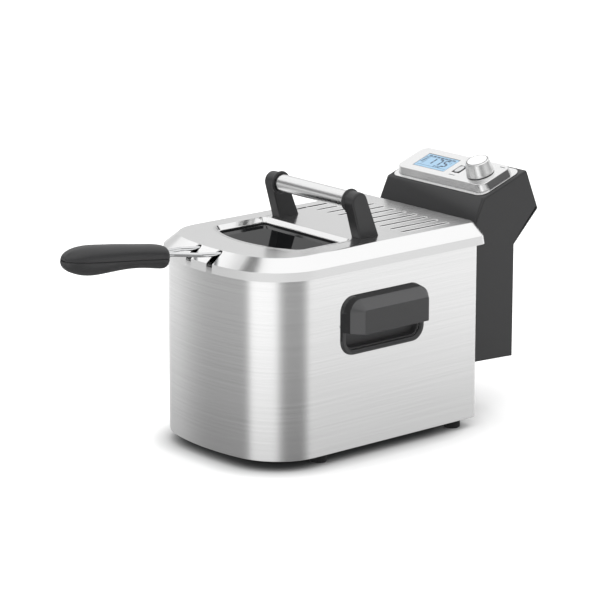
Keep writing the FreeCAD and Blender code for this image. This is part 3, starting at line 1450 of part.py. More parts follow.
def build_control_unit():
    shell = unit_shell()
    export("control_case", make_unit_case(shell))
    export("control_rear_cover", make_rear_cover(shell))
    export("cover_screws", make_cover_screws())
    export("cord_gland", make_cord_gland())
    export("panel_trim", make_panel_trim())
    export("panel_island", make_panel_island())
    export("lcd_lens", make_lcd_lens())
    export("lcd_module", make_lcd_module())
    export("display_board", make_display_board())
    export("dial_encoder", make_encoder())
    export("menu_button", make_menu_button())
    export("reset_button", make_reset_button())
    export("thermal_cutout", make_thermal_cutout())
    export("power_board", make_power_board())
    export("terminal_block", make_terminal_block())
    export("safety_switch", make_safety_switch())
    export("knob_body", make_knob_body())
    export("knob_cap", make_knob_cap())
    export("knob_core", make_knob_core())
    export("heating_element", make_heating_element())
    export("element_neck", make_element_neck())
    export("temperature_probe", make_temperature_probe())
    export("probe_clip", make_probe_clip())


def build_basket():
    export("basket_mesh", make_basket_mesh())
    export("basket_rim", make_basket_rim())
    export("basket_frame", make_basket_frame())
    export("basket_bracket", make_basket_bracket())
    export("handle_wires", make_handle_wires())
    grip = grip_solid()
    screw = make_grip_screw()
    upper = seam_block()
    export("grip_top", grip.common(upper).cut(screw))
    export("grip_bottom", grip.cut(upper).cut(screw))
    export("grip_screw", screw)


def build_lid():
    export("lid_shell", make_lid_shell())
    export("window_frame", make_window_frame())
    export("window_seal", make_window_seal())
    export("window_glass", make_window_glass())
    export("glass_retainer", make_glass_retainer())
    export("lid_liner", make_lid_liner())
    export("filter_mesh", make_filter_mesh())
    export("filter_holder", make_filter_holder())
    export("handle_post_left", make_handle_post(-1))
    export("handle_post_right", make_handle_post(1))
    export("handle_bar", make_handle_bar())
    export("lid_screws", make_lid_screws())


os.makedirs("parts", exist_ok=True)
build_housing()
export("oil_bowl", make_oil_bowl())
build_control_unit()
build_basket()
build_lid()
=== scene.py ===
"""Looks of a deep fryer: brushed steel tub, pressed lid, wire basket and a control unit behind.

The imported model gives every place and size. The classes below round its edges, replace the
solids that stand for wire, screen and dial by detailed pieces, and dress everything.
"""

import json
import logging
import math
from dataclasses import dataclass, field
from enum import Enum
from typing import Callable, Sequence

import bmesh
import bpy
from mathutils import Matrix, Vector


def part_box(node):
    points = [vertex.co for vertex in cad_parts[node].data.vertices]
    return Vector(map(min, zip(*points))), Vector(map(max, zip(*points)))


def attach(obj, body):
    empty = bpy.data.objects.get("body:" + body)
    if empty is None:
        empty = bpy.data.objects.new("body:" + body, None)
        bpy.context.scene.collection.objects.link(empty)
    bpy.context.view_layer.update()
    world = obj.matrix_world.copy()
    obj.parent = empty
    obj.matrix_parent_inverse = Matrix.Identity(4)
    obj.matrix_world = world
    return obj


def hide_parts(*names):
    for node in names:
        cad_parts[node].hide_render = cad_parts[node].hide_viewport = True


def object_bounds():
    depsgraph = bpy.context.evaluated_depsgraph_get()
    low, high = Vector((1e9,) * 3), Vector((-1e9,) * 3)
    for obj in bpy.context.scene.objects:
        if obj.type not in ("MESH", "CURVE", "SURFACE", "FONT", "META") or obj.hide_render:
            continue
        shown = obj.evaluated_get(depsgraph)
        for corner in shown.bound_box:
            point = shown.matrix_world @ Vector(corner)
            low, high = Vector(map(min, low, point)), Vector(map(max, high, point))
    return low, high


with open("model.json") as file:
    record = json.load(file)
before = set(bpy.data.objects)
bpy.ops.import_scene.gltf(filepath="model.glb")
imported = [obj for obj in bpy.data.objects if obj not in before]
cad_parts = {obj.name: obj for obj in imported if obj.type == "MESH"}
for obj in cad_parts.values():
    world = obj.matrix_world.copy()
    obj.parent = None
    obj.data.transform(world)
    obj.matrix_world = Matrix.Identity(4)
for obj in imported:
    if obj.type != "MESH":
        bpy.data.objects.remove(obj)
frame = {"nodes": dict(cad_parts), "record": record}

log = logging.getLogger("fryer")
MM = 0.001
WELD = 0.002  # millimetres between corners that are one
FLAT_ANGLE = 0.4  # degrees between triangles that are one face
CAD_BOX = [list(corner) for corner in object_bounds()]
Test = Callable[[Vector], bool]


# ------------------------------------------------------------------ colour and nodes
def linear(code: str, alpha: float = 1.0) -> tuple[float, float, float, float]:
    """Turns an sRGB hex colour to the linear values that the shaders use.

    Args:
        code: colour as "#rrggbb".
        alpha: fourth value of the result.

    Returns:
        Linear red, green, blue and alpha.
    """
    parts = [int(code[i : i + 2], 16) / 255 for i in (1, 3, 5)]
    low = [c / 12.92 if c <= 0.04045 else ((c + 0.055) / 1.055) ** 2.4 for c in parts]
    return (low[0], low[1], low[2], alpha)


def add(tree: bpy.types.NodeTree, kind: str, sockets: dict, **settings: object) -> bpy.types.Node:
    """Adds a node with its settings and links.

    Args:
        tree: node tree that gets the node.
        kind: type of the node, without its "ShaderNode" prefix.
        sockets: value, or output socket to link, for inputs by name or number.
        settings: the node's own properties.

    Returns:
        The new node.
    """
    node = tree.nodes.new("ShaderNode" + kind)
    for name, value in settings.items():
        setattr(node, name, value)
    for key, value in sockets.items():
        if isinstance(value, bpy.types.NodeSocket):
            tree.links.new(value, node.inputs[key])
        else:
            node.inputs[key].default_value = value
    return node


# ------------------------------------------------------------------ finishes
class Grain(Enum):
    """Ways that a brushed sheet is rubbed."""

    AROUND = "level lines on upright walls"
    CROSSWISE = "lines from side to side"


@dataclass(frozen=True)
class Finish:
    """A material that is the same all over but for what dress() adds.

    The colour varies by the share "spread" and the roughness by the amount "rough", each way.
    """

    title: str
    colour: str
    roughness: float
    metallic: float = 0.0
    ior: float = 1.5
    spread: float = 0.0
    rough: float = 0.0

    def make(self) -> bpy.types.Material:
        """Builds the material.

        Returns:
            The material, with its shader and the detail that dress() adds.
        """
        material = bpy.data.materials.new(self.title)
        material.use_nodes = True
        tree = material.node_tree
        tree.nodes.clear()
        sockets = {"Base Color": linear(self.colour), "Roughness": self.roughness}
        sockets["Metallic"] = self.metallic
        if not self.metallic:
            sockets["IOR"] = self.ior
        shader = add(tree, "BsdfPrincipled", sockets)
        add(tree, "OutputMaterial", {"Surface": shader.outputs[0]})
        self.dress(tree, shader)
        return material

    def dress(self, tree: bpy.types.NodeTree, shader: bpy.types.Node) -> None:
        """Adds what sets this finish apart; the plain finish adds nothing."""

    def place(self, tree: bpy.types.NodeTree, scale: Sequence[float]) -> bpy.types.NodeSocket:
        """Object coordinates in metres, scaled by the counts per metre on each axis.

        Args:
            tree: node tree of the material.
            scale: counts per metre along X, Y and Z.

        Returns:
            The scaled coordinate socket.
        """
        where = add(tree, "TexCoord", {})
        mapping = add(tree, "Mapping", {"Vector": where.outputs["Object"], "Scale": tuple(scale)})
        return mapping.outputs[0]

    def vary(
        self,
        tree: bpy.types.NodeTree,
        shader: bpy.types.Node,
        factor: bpy.types.NodeSocket,
    ) -> None:
        """Lets a pattern lighten and darken the colour and change the roughness.

        Args:
            tree: node tree of the material.
            shader: its Principled shader.
            factor: pattern from 0 to 1.
        """
        base = linear(self.colour)[:3]
        shares = (1 - self.spread, 1 + self.spread)
        ends = [tuple(min(c * share, 1.0) for c in base) + (1.0,) for share in shares]
        tone = add(tree, "Mix", {0: factor, 6: ends[0], 7: ends[1]}, data_type="RGBA")
        tree.links.new(tone.outputs[2], shader.inputs["Base Color"])
        sockets = {0: factor, 3: self.roughness - self.rough, 4: self.roughness + self.rough}
        span = add(tree, "MapRange", sockets)
        tree.links.new(span.outputs[0], shader.inputs["Roughness"])

    def emboss(
        self,
        tree: bpy.types.NodeTree,
        shader: bpy.types.Node,
        height: bpy.types.NodeSocket,
        depth: float,
        strength: float = 1.0,
    ) -> None:
        """Gives the surface a relief.

        Args:
            tree: node tree of the material.
            shader: its Principled shader.
            height: pattern from 0 to 1.
            depth: height of the relief in metres.
            strength: share of the relief that counts.
        """
        bump = add(tree, "Bump", {"Height": height, "Distance": depth, "Strength": strength})
        tree.links.new(bump.outputs[0], shader.inputs["Normal"])


@dataclass(frozen=True)
class BrushedSteel(Finish):
    """Stainless steel sheet rubbed with a belt: long level lines that spread each highlight."""

    grain: Grain = Grain.AROUND
    line_mm: float = 1.1
    run_mm: float = 55.0
    depth_mm: float = 0.004
    spread: float = 0.02
    rough: float = 0.015
    stretch: float = 0.6

    def dress(self, tree: bpy.types.NodeTree, shader: bpy.types.Node) -> None:
        """Draws the rubbed lines, coarser than the real 0.1 mm ones so that they show."""
        line, run = 1000 / self.line_mm, 1000 / self.run_mm
        scales = {
            Grain.AROUND: (run, run, line),
            Grain.CROSSWISE: (run, line, line),
        }
        across = {
            Grain.AROUND: (0.0, 0.0, 1.0),
            Grain.CROSSWISE: (0.0, 1.0, 0.2),
        }
        where = self.place(tree, scales[self.grain])
        lines = add(tree, "TexNoise", {"Vector": where, "Scale": 1.0, "Detail": 1.0})
        self.vary(tree, shader, lines.outputs[0])
        self.emboss(tree, shader, lines.outputs[0], self.depth_mm * MM)
        shader.inputs["Anisotropic"].default_value = self.stretch
        x, y, z = across[self.grain]
        tangent = add(tree, "CombineXYZ", {0: x, 1: y, 2: z})
        tree.links.new(tangent.outputs[0], shader.inputs["Tangent"])


@dataclass(frozen=True)
class PolishedSteel(Finish):
    """Buffed steel or chrome plate: mirror-like, with faint smears from handling."""

    smear_mm: float = 14.0
    spread: float = 0.01
    rough: float = 0.012

    def dress(self, tree: bpy.types.NodeTree, shader: bpy.types.Node) -> None:
        """Adds the smears to the roughness and, barely, to the colour."""
        where = self.place(tree, (1000 / self.smear_mm,) * 3)
        smears = add(tree, "TexNoise", {"Vector": where, "Scale": 1.0, "Detail": 4.0})
        self.vary(tree, shader, smears.outputs[0])


@dataclass(frozen=True)
class SpunMetal(Finish):
    """Metal turned on a lathe: rings about the axis that draw light into radial fans."""

    centre: tuple[float, float, float] = (0.0, 0.0, 0.0)
    axis: tuple[float, float, float] = (0.0, 0.0, 1.0)
    ring_mm: float = 0.7
    depth_mm: float = 0.006
    spread: float = 0.04
    rough: float = 0.05
    stretch: float = 0.45
    quarter_turn: float = 0.25

    def dress(self, tree: bpy.types.NodeTree, shader: bpy.types.Node) -> None:
        """Draws the rings and turns the highlight across them."""
        where = add(tree, "TexCoord", {})
        sockets = {0: where.outputs["Object"], 1: self.centre}
        arm = add(tree, "VectorMath", sockets, operation="SUBTRACT")
        sockets = {0: self.axis, 1: arm.outputs[0]}
        around = add(tree, "VectorMath", sockets, operation="CROSS_PRODUCT")
        radius = add(tree, "VectorMath", {0: around.outputs[0]}, operation="LENGTH")
        sockets = {0: radius.outputs["Value"], 1: 1000 / self.ring_mm}
        rings = add(tree, "Math", sockets, operation="MULTIPLY")
        sockets = {"W": rings.outputs[0], "Scale": 1.0, "Detail": 2.0}
        noise = add(tree, "TexNoise", sockets, noise_dimensions="1D")
        self.vary(tree, shader, noise.outputs[0])
        self.emboss(tree, shader, noise.outputs[0], self.depth_mm * MM)
        shader.inputs["Anisotropic"].default_value = self.stretch
        shader.inputs["Anisotropic Rotation"].default_value = self.quarter_turn
        tree.links.new(around.outputs[0], shader.inputs["Tangent"])


@dataclass(frozen=True)
class MouldedPlastic(Finish):
    """Injection-moulded plastic with an etched, softly grained skin."""

    grain_mm: float = 0.9
    depth_mm: float = 0.02
    strength: float = 0.5
    patches_per_metre: float = 18.0
    spread: float = 0.06
    rough: float = 0.04

    def dress(self, tree: bpy.types.NodeTree, shader: bpy.types.Node) -> None:
        """Etches the grain, drawn coarser than the real 0.2 mm so that it shows."""
        where = self.place(tree, (1000 / self.grain_mm,) * 3)
        grain = add(tree, "TexNoise", {"Vector": where, "Scale": 1.0, "Detail": 2.0})
        broad = self.place(tree, (self.patches_per_metre,) * 3)
        patches = add(tree, "TexNoise", {"Vector": broad, "Scale": 1.0, "Detail": 2.0})
        self.vary(tree, shader, patches.outputs[0])
        self.emboss(tree, shader, grain.outputs[0], self.depth_mm * MM, self.strength)


@dataclass(frozen=True)
class SmokedGlass(Finish):
    """Toughened glass, tinted almost black and polished on both faces."""

    smears_per_metre: float = 30.0
    spread: float = 0.1
    rough: float = 0.015
    passed: float = 0.04

    def dress(self, tree: bpy.types.NodeTree, shader: bpy.types.Node) -> None:
        """Lets a little light through and adds the thin film that frying leaves."""
        where = self.place(tree, (self.smears_per_metre,) * 3)
        film = add(tree, "TexNoise", {"Vector": where, "Scale": 1.0, "Detail": 3.0})
        self.vary(tree, shader, film.outputs[0])
        shader.inputs["Transmission Weight"].default_value = self.passed


@dataclass(frozen=True)
class PlatedSheet(Finish):
    """Zinc-plated steel: faint crystals a few millimetres across, each of its own grey."""

    crystal_mm: float = 6.0
    spread: float = 0.08
    rough: float = 0.06

    def dress(self, tree: bpy.types.NodeTree, shader: bpy.types.Node) -> None:
        """Draws the crystals."""
        where = self.place(tree, (1000 / self.crystal_mm,) * 3)
        cells = add(tree, "TexVoronoi", {"Vector": where, "Scale": 1.0})
        grey = add(tree, "RGBToBW", {0: cells.outputs["Color"]})
        self.vary(tree, shader, grey.outputs[0])


@dataclass(frozen=True)
class WovenFilter(Finish):
    """Stack of fine aluminium mesh: a square weave of bright wires over gaps in painted shade."""

    pitch_mm: float = 2.2
    depth_mm: float = 0.4
    spread: float = 0.45
    rough: float = 0.05

    def dress(self, tree: bpy.types.NodeTree, shader: bpy.types.Node) -> None:
        """Crosses two sets of wires; the gaps' painted shade is what shows through the slots."""
        where = self.place(tree, (1000 / self.pitch_mm,) * 3)
        sets = []
        for direction in ("X", "Y"):
            sockets = {"Vector": where, "Scale": 1.0 / math.pi}
            sets.append(add(tree, "TexWave", sockets, bands_direction=direction))
        sockets = {0: sets[0].outputs["Fac"], 1: sets[1].outputs["Fac"]}
        weave = add(tree, "Math", sockets, operation="MAXIMUM")
        self.vary(tree, shader, weave.outputs[0])
        self.emboss(tree, shader, weave.outputs[0], self.depth_mm * MM)


@dataclass(frozen=True)
class PrintedBoard(Finish):
    """Glass-fibre board under green lacquer, with paler tracks."""

    tracks_per_metre: float = 120.0
    track_width: float = 0.06
    spread: float = 0.35
    rough: float = 0.08

    def dress(self, tree: bpy.types.NodeTree, shader: bpy.types.Node) -> None:
        """Draws the tracks as a fine irregular brickwork."""
        where = self.place(tree, (self.tracks_per_metre,) * 3)
        sockets = {"Vector": where, "Scale": 1.0, "Mortar Size": self.track_width}
        tracks = add(tree, "TexBrick", sockets)
        self.vary(tree, shader, tracks.outputs["Fac"])


@dataclass(frozen=True)
class Backlight(Finish):
    """Liquid-crystal screen lit from behind: pale blue under a polished coat."""

    glow: float = 0.1
    coat: float = 0.6
    coat_roughness: float = 0.05
    cells_per_metre: float = 1100.0
    spread: float = 0.03
    rough: float = 0.01

    def dress(self, tree: bpy.types.NodeTree, shader: bpy.types.Node) -> None:
        """Lights the face and draws its fine cell pattern."""
        where = self.place(tree, (self.cells_per_metre,) * 3)
        cells = add(tree, "TexChecker", {"Vector": where, "Scale": 1.0})
        self.vary(tree, shader, cells.outputs["Fac"])
        shader.inputs["Emission Color"].default_value = linear(self.colour)
        shader.inputs["Emission Strength"].default_value = self.glow
        shader.inputs["Coat Weight"].default_value = self.coat
        shader.inputs["Coat Roughness"].default_value = self.coat_roughness


@dataclass(frozen=True)
class TintedMetal(Finish):
    """Nickel alloy that heat has browned in patches."""

    patches_per_metre: float = 60.0
    spread: float = 0.25
    rough: float = 0.1

    def dress(self, tree: bpy.types.NodeTree, shader: bpy.types.Node) -> None:
        """Draws the heat patches, a couple of centimetres long."""
        where = self.place(tree, (self.patches_per_metre,) * 3)
        patches = add(tree, "TexNoise", {"Vector": where, "Scale": 1.0, "Detail": 5.0})
        self.vary(tree, shader, patches.outputs[0])


# ------------------------------------------------------------------ workshop
def alone(piece: bpy.types.Object) -> None:
    """Selects one piece and makes it active, with nothing else selected."""
    bpy.ops.object.select_all(action="DESELECT")
    piece.hide_set(False)
    piece.select_set(True)
    bpy.context.view_layer.objects.active = piece


def edit(piece: bpy.types.Object) -> bmesh.types.BMesh:
    """Opens a piece in edit mode with nothing selected.

    Args:
        piece: mesh object to open.

    Returns:
        The edit mesh.
    """
    alone(piece)
    bpy.ops.object.mode_set(mode="EDIT")
    bpy.ops.mesh.select_all(action="DESELECT")
    return bmesh.from_edit_mesh(piece.data)


def close() -> None:
    """Leaves edit mode."""
    bpy.ops.object.mode_set(mode="OBJECT")


def apply(piece: bpy.types.Object, kind: str, **settings: object) -> None:
    """Adds a modifier with its settings and applies it.

    Args:
        piece: mesh object to change.
        kind: the modifier's type.
        settings: its properties.
    """
    alone(piece)
    modifier = piece.modifiers.new(kind.lower(), kind)
    for name, value in settings.items():
        setattr(modifier, name, value)
    bpy.ops.object.modifier_apply(modifier=modifier.name)


def smooth(piece: bpy.types.Object, angle: float = 35.0) -> None:
    """Shades a piece smooth, but for edges sharper than the angle in degrees."""
    alone(piece)
    bpy.ops.object.shade_smooth_by_angle(angle=math.radians(angle))


def settle(piece: bpy.types.Object) -> None:
    """Moves a piece's place, turn and size into its mesh."""
    alone(piece)
    bpy.ops.object.transform_apply(location=True, rotation=True, scale=True)


def joined(pieces: Sequence[bpy.types.Object], name: str) -> bpy.types.Object:
    """Joins pieces into one object.

    Args:
        pieces: the objects to join.
        name: name of the result.

    Returns:
        The joined object.
    """
    alone(pieces[0])
    for piece in pieces:
        piece.select_set(True)
    bpy.ops.object.join()
    pieces[0].name = name
    return pieces[0]


@dataclass
class Assembly:
    """A body of the fryer: takes its CAD nodes, rounds or replaces them and dresses them."""

    body: str = "housing"

    def take(self, *nodes: str, name: str = "") -> bpy.types.Object:
        """Copies CAD nodes into one clean mesh without loose triangles.

        Args:
            nodes: names of the CAD nodes.
            name: name of the copy; the first node's name with "_piece" if left out.

        Returns:
            The copy, which stands for those nodes.
        """
        copies = []
        for node in nodes:
            mesh = frame["nodes"][node].data.copy()
            copy = bpy.data.objects.new(name or f"{node}_piece", mesh)
            bpy.context.scene.collection.objects.link(copy)
            mesh.materials.clear()
            copies.append(copy)
        piece = joined(copies, copies[0].name)
        alone(piece)
        if piece.data.has_custom_normals:
            bpy.ops.mesh.customdata_custom_splitnormals_clear()
        edit(piece)
        bpy.ops.mesh.select_all(action="SELECT")
        bpy.ops.mesh.remove_doubles(threshold=WELD * MM)
        bpy.ops.mesh.dissolve_limited(angle_limit=math.radians(FLAT_ANGLE))
        close()
        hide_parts(*nodes)
        return piece

    def roll(
        self,
        piece: bpy.types.Object,
        rolls: Sequence[tuple[float, Test]],
        least: float = 28.0,
        segments: int = 3,
    ) -> None:
        """Rounds a piece's sharp edges, each by the width of the first test that it meets.

        Args:
            piece: mesh object to round.
            rolls: pairs of a width in millimetres and a test of the edge's middle.
            least: angle in degrees from which an edge is rounded.
            segments: faces across each rounding.
        """
        widest = max(width for width, _ in rolls)
        mesh = piece.data
        weights = mesh.attributes.new("bevel_weight_edge", "FLOAT", "EDGE")
        work = bmesh.new()
        work.from_mesh(mesh)
        work.edges.ensure_lookup_table()
        values = []
        for rim in work.edges:
            value = 0.0
            if len(rim.link_faces) == 2 and rim.calc_face_angle(0.0) > math.radians(least):
                middle = (rim.verts[0].co + rim.verts[1].co) / 2
                for width, test in rolls:
                    if test(middle):
                        value = width / widest
                        break
            values.append(value)
        work.free()
        weights.data.foreach_set("value", values)
        apply(
            piece,
            "BEVEL",
            limit_method="WEIGHT",
            width=widest * MM,
            segments=segments,
            use_clamp_overlap=False,
            miter_outer="MITER_SHARP",
        )
        stale = piece.data.attributes.get("bevel_weight_edge")
        if stale:
            piece.data.attributes.remove(stale)

    def dress(
        self,
        piece: bpy.types.Object,
        finish: bpy.types.Material,
        slot: str,
        angle: float = 35.0,
        weighted: bool = True,
    ) -> bpy.types.Object:
        """Gives a piece its finish, its shading and its body.

        Args:
            piece: finished mesh object.
            finish: its material.
            slot: material slot of the record; not used.
            angle: sharpest edge in degrees that is shaded smooth.
            weighted: whether large faces keep their own direction next to roundings.

        Returns:
            The piece.
        """
        piece.data.materials.clear()
        piece.data.materials.append(finish)
        smooth(piece, angle)
        if weighted:
            apply(piece, "WEIGHTED_NORMAL", keep_sharp=True, weight=60)
        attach(piece, self.body)
        log.info("%s: %s, %d faces", self.body, piece.name, len(piece.data.polygons))
        return piece

    def rounded(
        self,
        node: str,
        finish: bpy.types.Material,
        slot: str,
        rolls: Sequence[tuple[float, Test]],
        least: float = 28.0,
        segments: int = 3,
    ) -> bpy.types.Object:
        """Copies one CAD node, rounds its edges and dresses it.

        Args:
            node: name of the CAD node.
            finish: material of the copy.
            slot: material slot of the record.
            rolls: widths in millimetres and tests, as roll() takes them.
            least: angle in degrees from which an edge is rounded.
            segments: faces across each rounding.

        Returns:
            The finished piece.
        """
        piece = self.take(node)
        self.roll(piece, rolls, least, segments)
        return self.dress(piece, finish, slot)


def anywhere(_: Vector) -> bool:
    """Accepts every edge."""
    return True


# ------------------------------------------------------------------ palette
@dataclass(frozen=True)
class Palette:
    """Every finish of the fryer by its slot, and those of the added detail."""

    panel_centre: tuple[float, float, float]
    panel_axis: tuple[float, float, float]

    def make(self) -> dict[str, bpy.types.Material]:
        """Builds all materials.

        Returns:
            Material by slot name or by the name of the detail it belongs to.
        """
        finishes = {
            "steel_housing": BrushedSteel(
                "brushed stainless sheet", "#fafafa", 0.26, 1.0, line_mm=1.3, run_mm=160.0,
                depth_mm=0.00025, spread=0.1,
            ),
            "steel_lid": BrushedSteel(
                "satin stainless pressing", "#f6f6f6", 0.22, 1.0, grain=Grain.CROSSWISE,
                line_mm=0.9, run_mm=120.0, depth_mm=0.0004, spread=0.012, stretch=0.7,
            ),
            "steel_bowl": BrushedSteel("deep-drawn stainless bowl", "#d9dad9", 0.24, 1.0),
            "steel_panel": BrushedSteel(
                "brushed stainless fascia", "#eeeeee", 0.24, 1.0, grain=Grain.CROSSWISE,
                line_mm=0.6, depth_mm=0.003, spread=0.035, stretch=0.7,
            ),
            "bright_steel": PolishedSteel("polished stainless", "#efefef", 0.12, 1.0),
            "wire_steel": PolishedSteel("chrome-plated wire", "#e2e3e4", 0.09, 1.0),
            "zinc_plate": PlatedSheet("zinc-plated steel", "#b3b6b8", 0.42, 1.0),
            "shield_aluminium": PlatedSheet("rolled aluminium foil sheet", "#cfd0d1", 0.35, 1.0),
            "filter_metal": WovenFilter("aluminium grease mesh", "#5d5e5f", 0.4, 1.0),
            "dark_plastic": MouldedPlastic("charcoal nylon moulding", "#2a2a2b", 0.42, 0.0, 1.53),
            "unit_plastic": MouldedPlastic(
                "charcoal polycarbonate shell", "#282829", 0.38, 0.0, 1.5,
            ),
            "black_rubber": MouldedPlastic("black rubber", "#1d1d1e", 0.75, 0.0, 1.52),
            "seal_rubber": MouldedPlastic("grey silicone seal", "#2b2b2c", 0.6, 0.0, 1.41),
            "smoked_glass": SmokedGlass("smoked anti-glare glass", "#0d0e0f", 0.04, 0.0, 1.12),
            "lcd_glass": Backlight("lit liquid-crystal screen", "#84a9c4", 0.12, 0.0, 1.49),
            "lcd_body": MouldedPlastic("white light-guide plastic", "#e6e8ea", 0.5, 0.0, 1.49),
            "board_green": PrintedBoard("lacquered circuit board", "#1f5c36", 0.4, 0.0, 1.5),
            "ceramic_white": MouldedPlastic("steatite ceramic", "#e9e5dc", 0.35, 0.0, 1.6),
            "element_metal": TintedMetal("nickel-alloy heater sheath", "#7d7871", 0.4, 1.0),
            "button_metal": PolishedSteel("satin-plated button", "#dfe0e1", 0.2, 1.0),
            "reset_red": MouldedPlastic("red signal plastic", "#b3221c", 0.4, 0.0, 1.5),
            "ink": MouldedPlastic("dark blue display segment", "#22344a", 0.3, 0.0, 1.5),
            "mark": MouldedPlastic("grey screen-printed mark", "#55585b", 0.5, 0.0, 1.5),
            "spun": SpunMetal(
                "spun aluminium dial", "#f1f1f1", 0.26, 1.0,
                centre=self.panel_centre, axis=self.panel_axis,
            ),
            # black for the gaps round the screen and the button: painted shadow
            "gap": MouldedPlastic("black painted shadow for gaps", "#101011", 0.6, 0.0, 1.5),
            "cap": SpunMetal(
                "satin lacquered dial face", "#f4f4f4", 0.3, 0.35,
                centre=self.panel_centre, axis=self.panel_axis,
            ),
            "hood_plastic": MouldedPlastic("charcoal nylon, satin", "#303031", 0.36, 0.0, 1.53),
            # lightened to offset the shade in the handles' pockets: painted light
            "cup_plastic_painted_light": MouldedPlastic("grey nylon, painted light", "#454546", 0.65, 0.0, 1.45),
            # lighter copy of the handle plastic for its bevels: painted highlight
            "painted_highlight_plastic": MouldedPlastic(
                "charcoal nylon, painted highlight", "#424243", 0.34, 0.0, 1.53,
            ),
            # darker copy of the handle plastic for its side walls: painted shade
            "painted_shade_plastic": MouldedPlastic("charcoal nylon, painted shade", "#202021", 0.62, 0.0, 1.45),
            # darker steel for the fascia's end wall: painted shade
            "painted_shade_steel": BrushedSteel(
                "brushed steel, painted shade", "#8b8b8c", 0.3, 1.0, line_mm=0.6, depth_mm=0.002,
            ),
        }
        return {slot: finish.make() for slot, finish in finishes.items()}


# ------------------------------------------------------------------ sub-assemblies
@dataclass
class Housing(Assembly):
    """Steel tub on rubber feet, with a moulded handle on each side."""

    body: str = "housing"
    rim_roll: float = 0.6
    handle_roll: float = 0.8
    scoop_roll: float = 3.2
    handle_corner: float = 18.0
    bezel_depth: float = 4.0
    lip_roll: float = 0.8
    foot_roll: float = 0.6
    rail_roll: float = 0.8
    cup_roll: float = 0.5
    wall_roll: float = 0.4
    wall_margin: float = 2.5
    scoop_inset: float = 4.5
    painted_shade_turn: float = 0.3
    painted_highlight_turn: float = 0.95

    def build(self, palette: dict[str, bpy.types.Material]) -> None:
        """Builds and dresses the tub, its feet, handles and rails."""
        self.build_tub(palette)
        self.build_handles(palette)
        for corner in ("front_left", "front_right", "rear_left", "rear_right"):
            rolls = [(self.foot_roll, anywhere)]
            self.rounded(f"foot_{corner}", palette["black_rubber"], "black_rubber", rolls)
        for side in ("left", "right"):
            rolls = [(self.rail_roll, anywhere)]
            self.rounded(f"guide_rail_{side}", palette["zinc_plate"], "zinc_plate", rolls)

    def build_tub(self, palette: dict[str, bpy.types.Material]) -> None:
        """Rounds the tub's folded bottom edge and its rim."""
        low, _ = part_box("outer_housing")
        rolls = [
            (self.lip_roll, lambda p: p.z < low.z + 0.4 * MM),
            (self.rim_roll, anywhere),
        ]
        piece = self.take("outer_housing")
        self.roll(piece, rolls, 40.0, 2)
        self.dress(piece, palette["steel_housing"], "steel_housing")

    def build_handles(self, palette: dict[str, bpy.types.Material]) -> None:
        """Softens both handles' hoods and their cups, whose plastic is lightened as painted light.
        """
        for side in ("left", "right"):
            self.build_hood(f"side_handle_{side}", palette)
            rolls = [(self.cup_roll, anywhere)]
            self.rounded(f"side_cup_{side}", palette["cup_plastic_painted_light"], "dark_plastic", rolls, 50.0)

    def build_hood(self, node: str, palette: dict[str, bpy.types.Material]) -> None:
        """Softens one side handle and paints shade on its side walls and highlight on its bevels.

        Args:
            node: name of the handle's CAD node.
            palette: material by slot name.
        """
        low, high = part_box(node)
        rim = min(abs(low.x), abs(high.x)) + (self.bezel_depth + 1.0) * MM
        middle, reach = (low + high) / 2, (high - low) / 2

        def at_wall(p: Vector) -> bool:
            return abs(p.x) < rim - self.wall_margin * MM

        def on_scoop(p: Vector) -> bool:
            along = abs(p.y - middle.y) - reach.y + self.handle_corner * MM
            rise = abs(p.z - middle.z) - reach.z + self.handle_corner * MM
            outside = math.hypot(max(along, 0.0), max(rise, 0.0))
            depth = outside + min(max(along, rise), 0.0) - self.handle_corner * MM
            return abs(p.x) < rim + MM and depth < -self.scoop_inset * MM

        rolls = [
            (self.wall_roll, at_wall),
            (self.scoop_roll, on_scoop),
            (self.handle_roll, anywhere),
        ]
        piece = self.rounded(node, palette["hood_plastic"], "dark_plastic", rolls, 20.0)
        piece.visible_glossy = False
        # side walls get a darker copy of the plastic as painted shade, bevels a lighter one as
        # painted highlight
        piece.data.materials.append(palette["painted_shade_plastic"])
        piece.data.materials.append(palette["painted_highlight_plastic"])
        for face in piece.data.polygons:
            turn = abs(face.normal.x)
            if turn < self.painted_shade_turn and abs(face.center.x) > rim:
                face.material_index = 1
            elif turn < self.painted_highlight_turn and abs(face.center.x) > rim + 2 * MM:
                face.material_index = 2


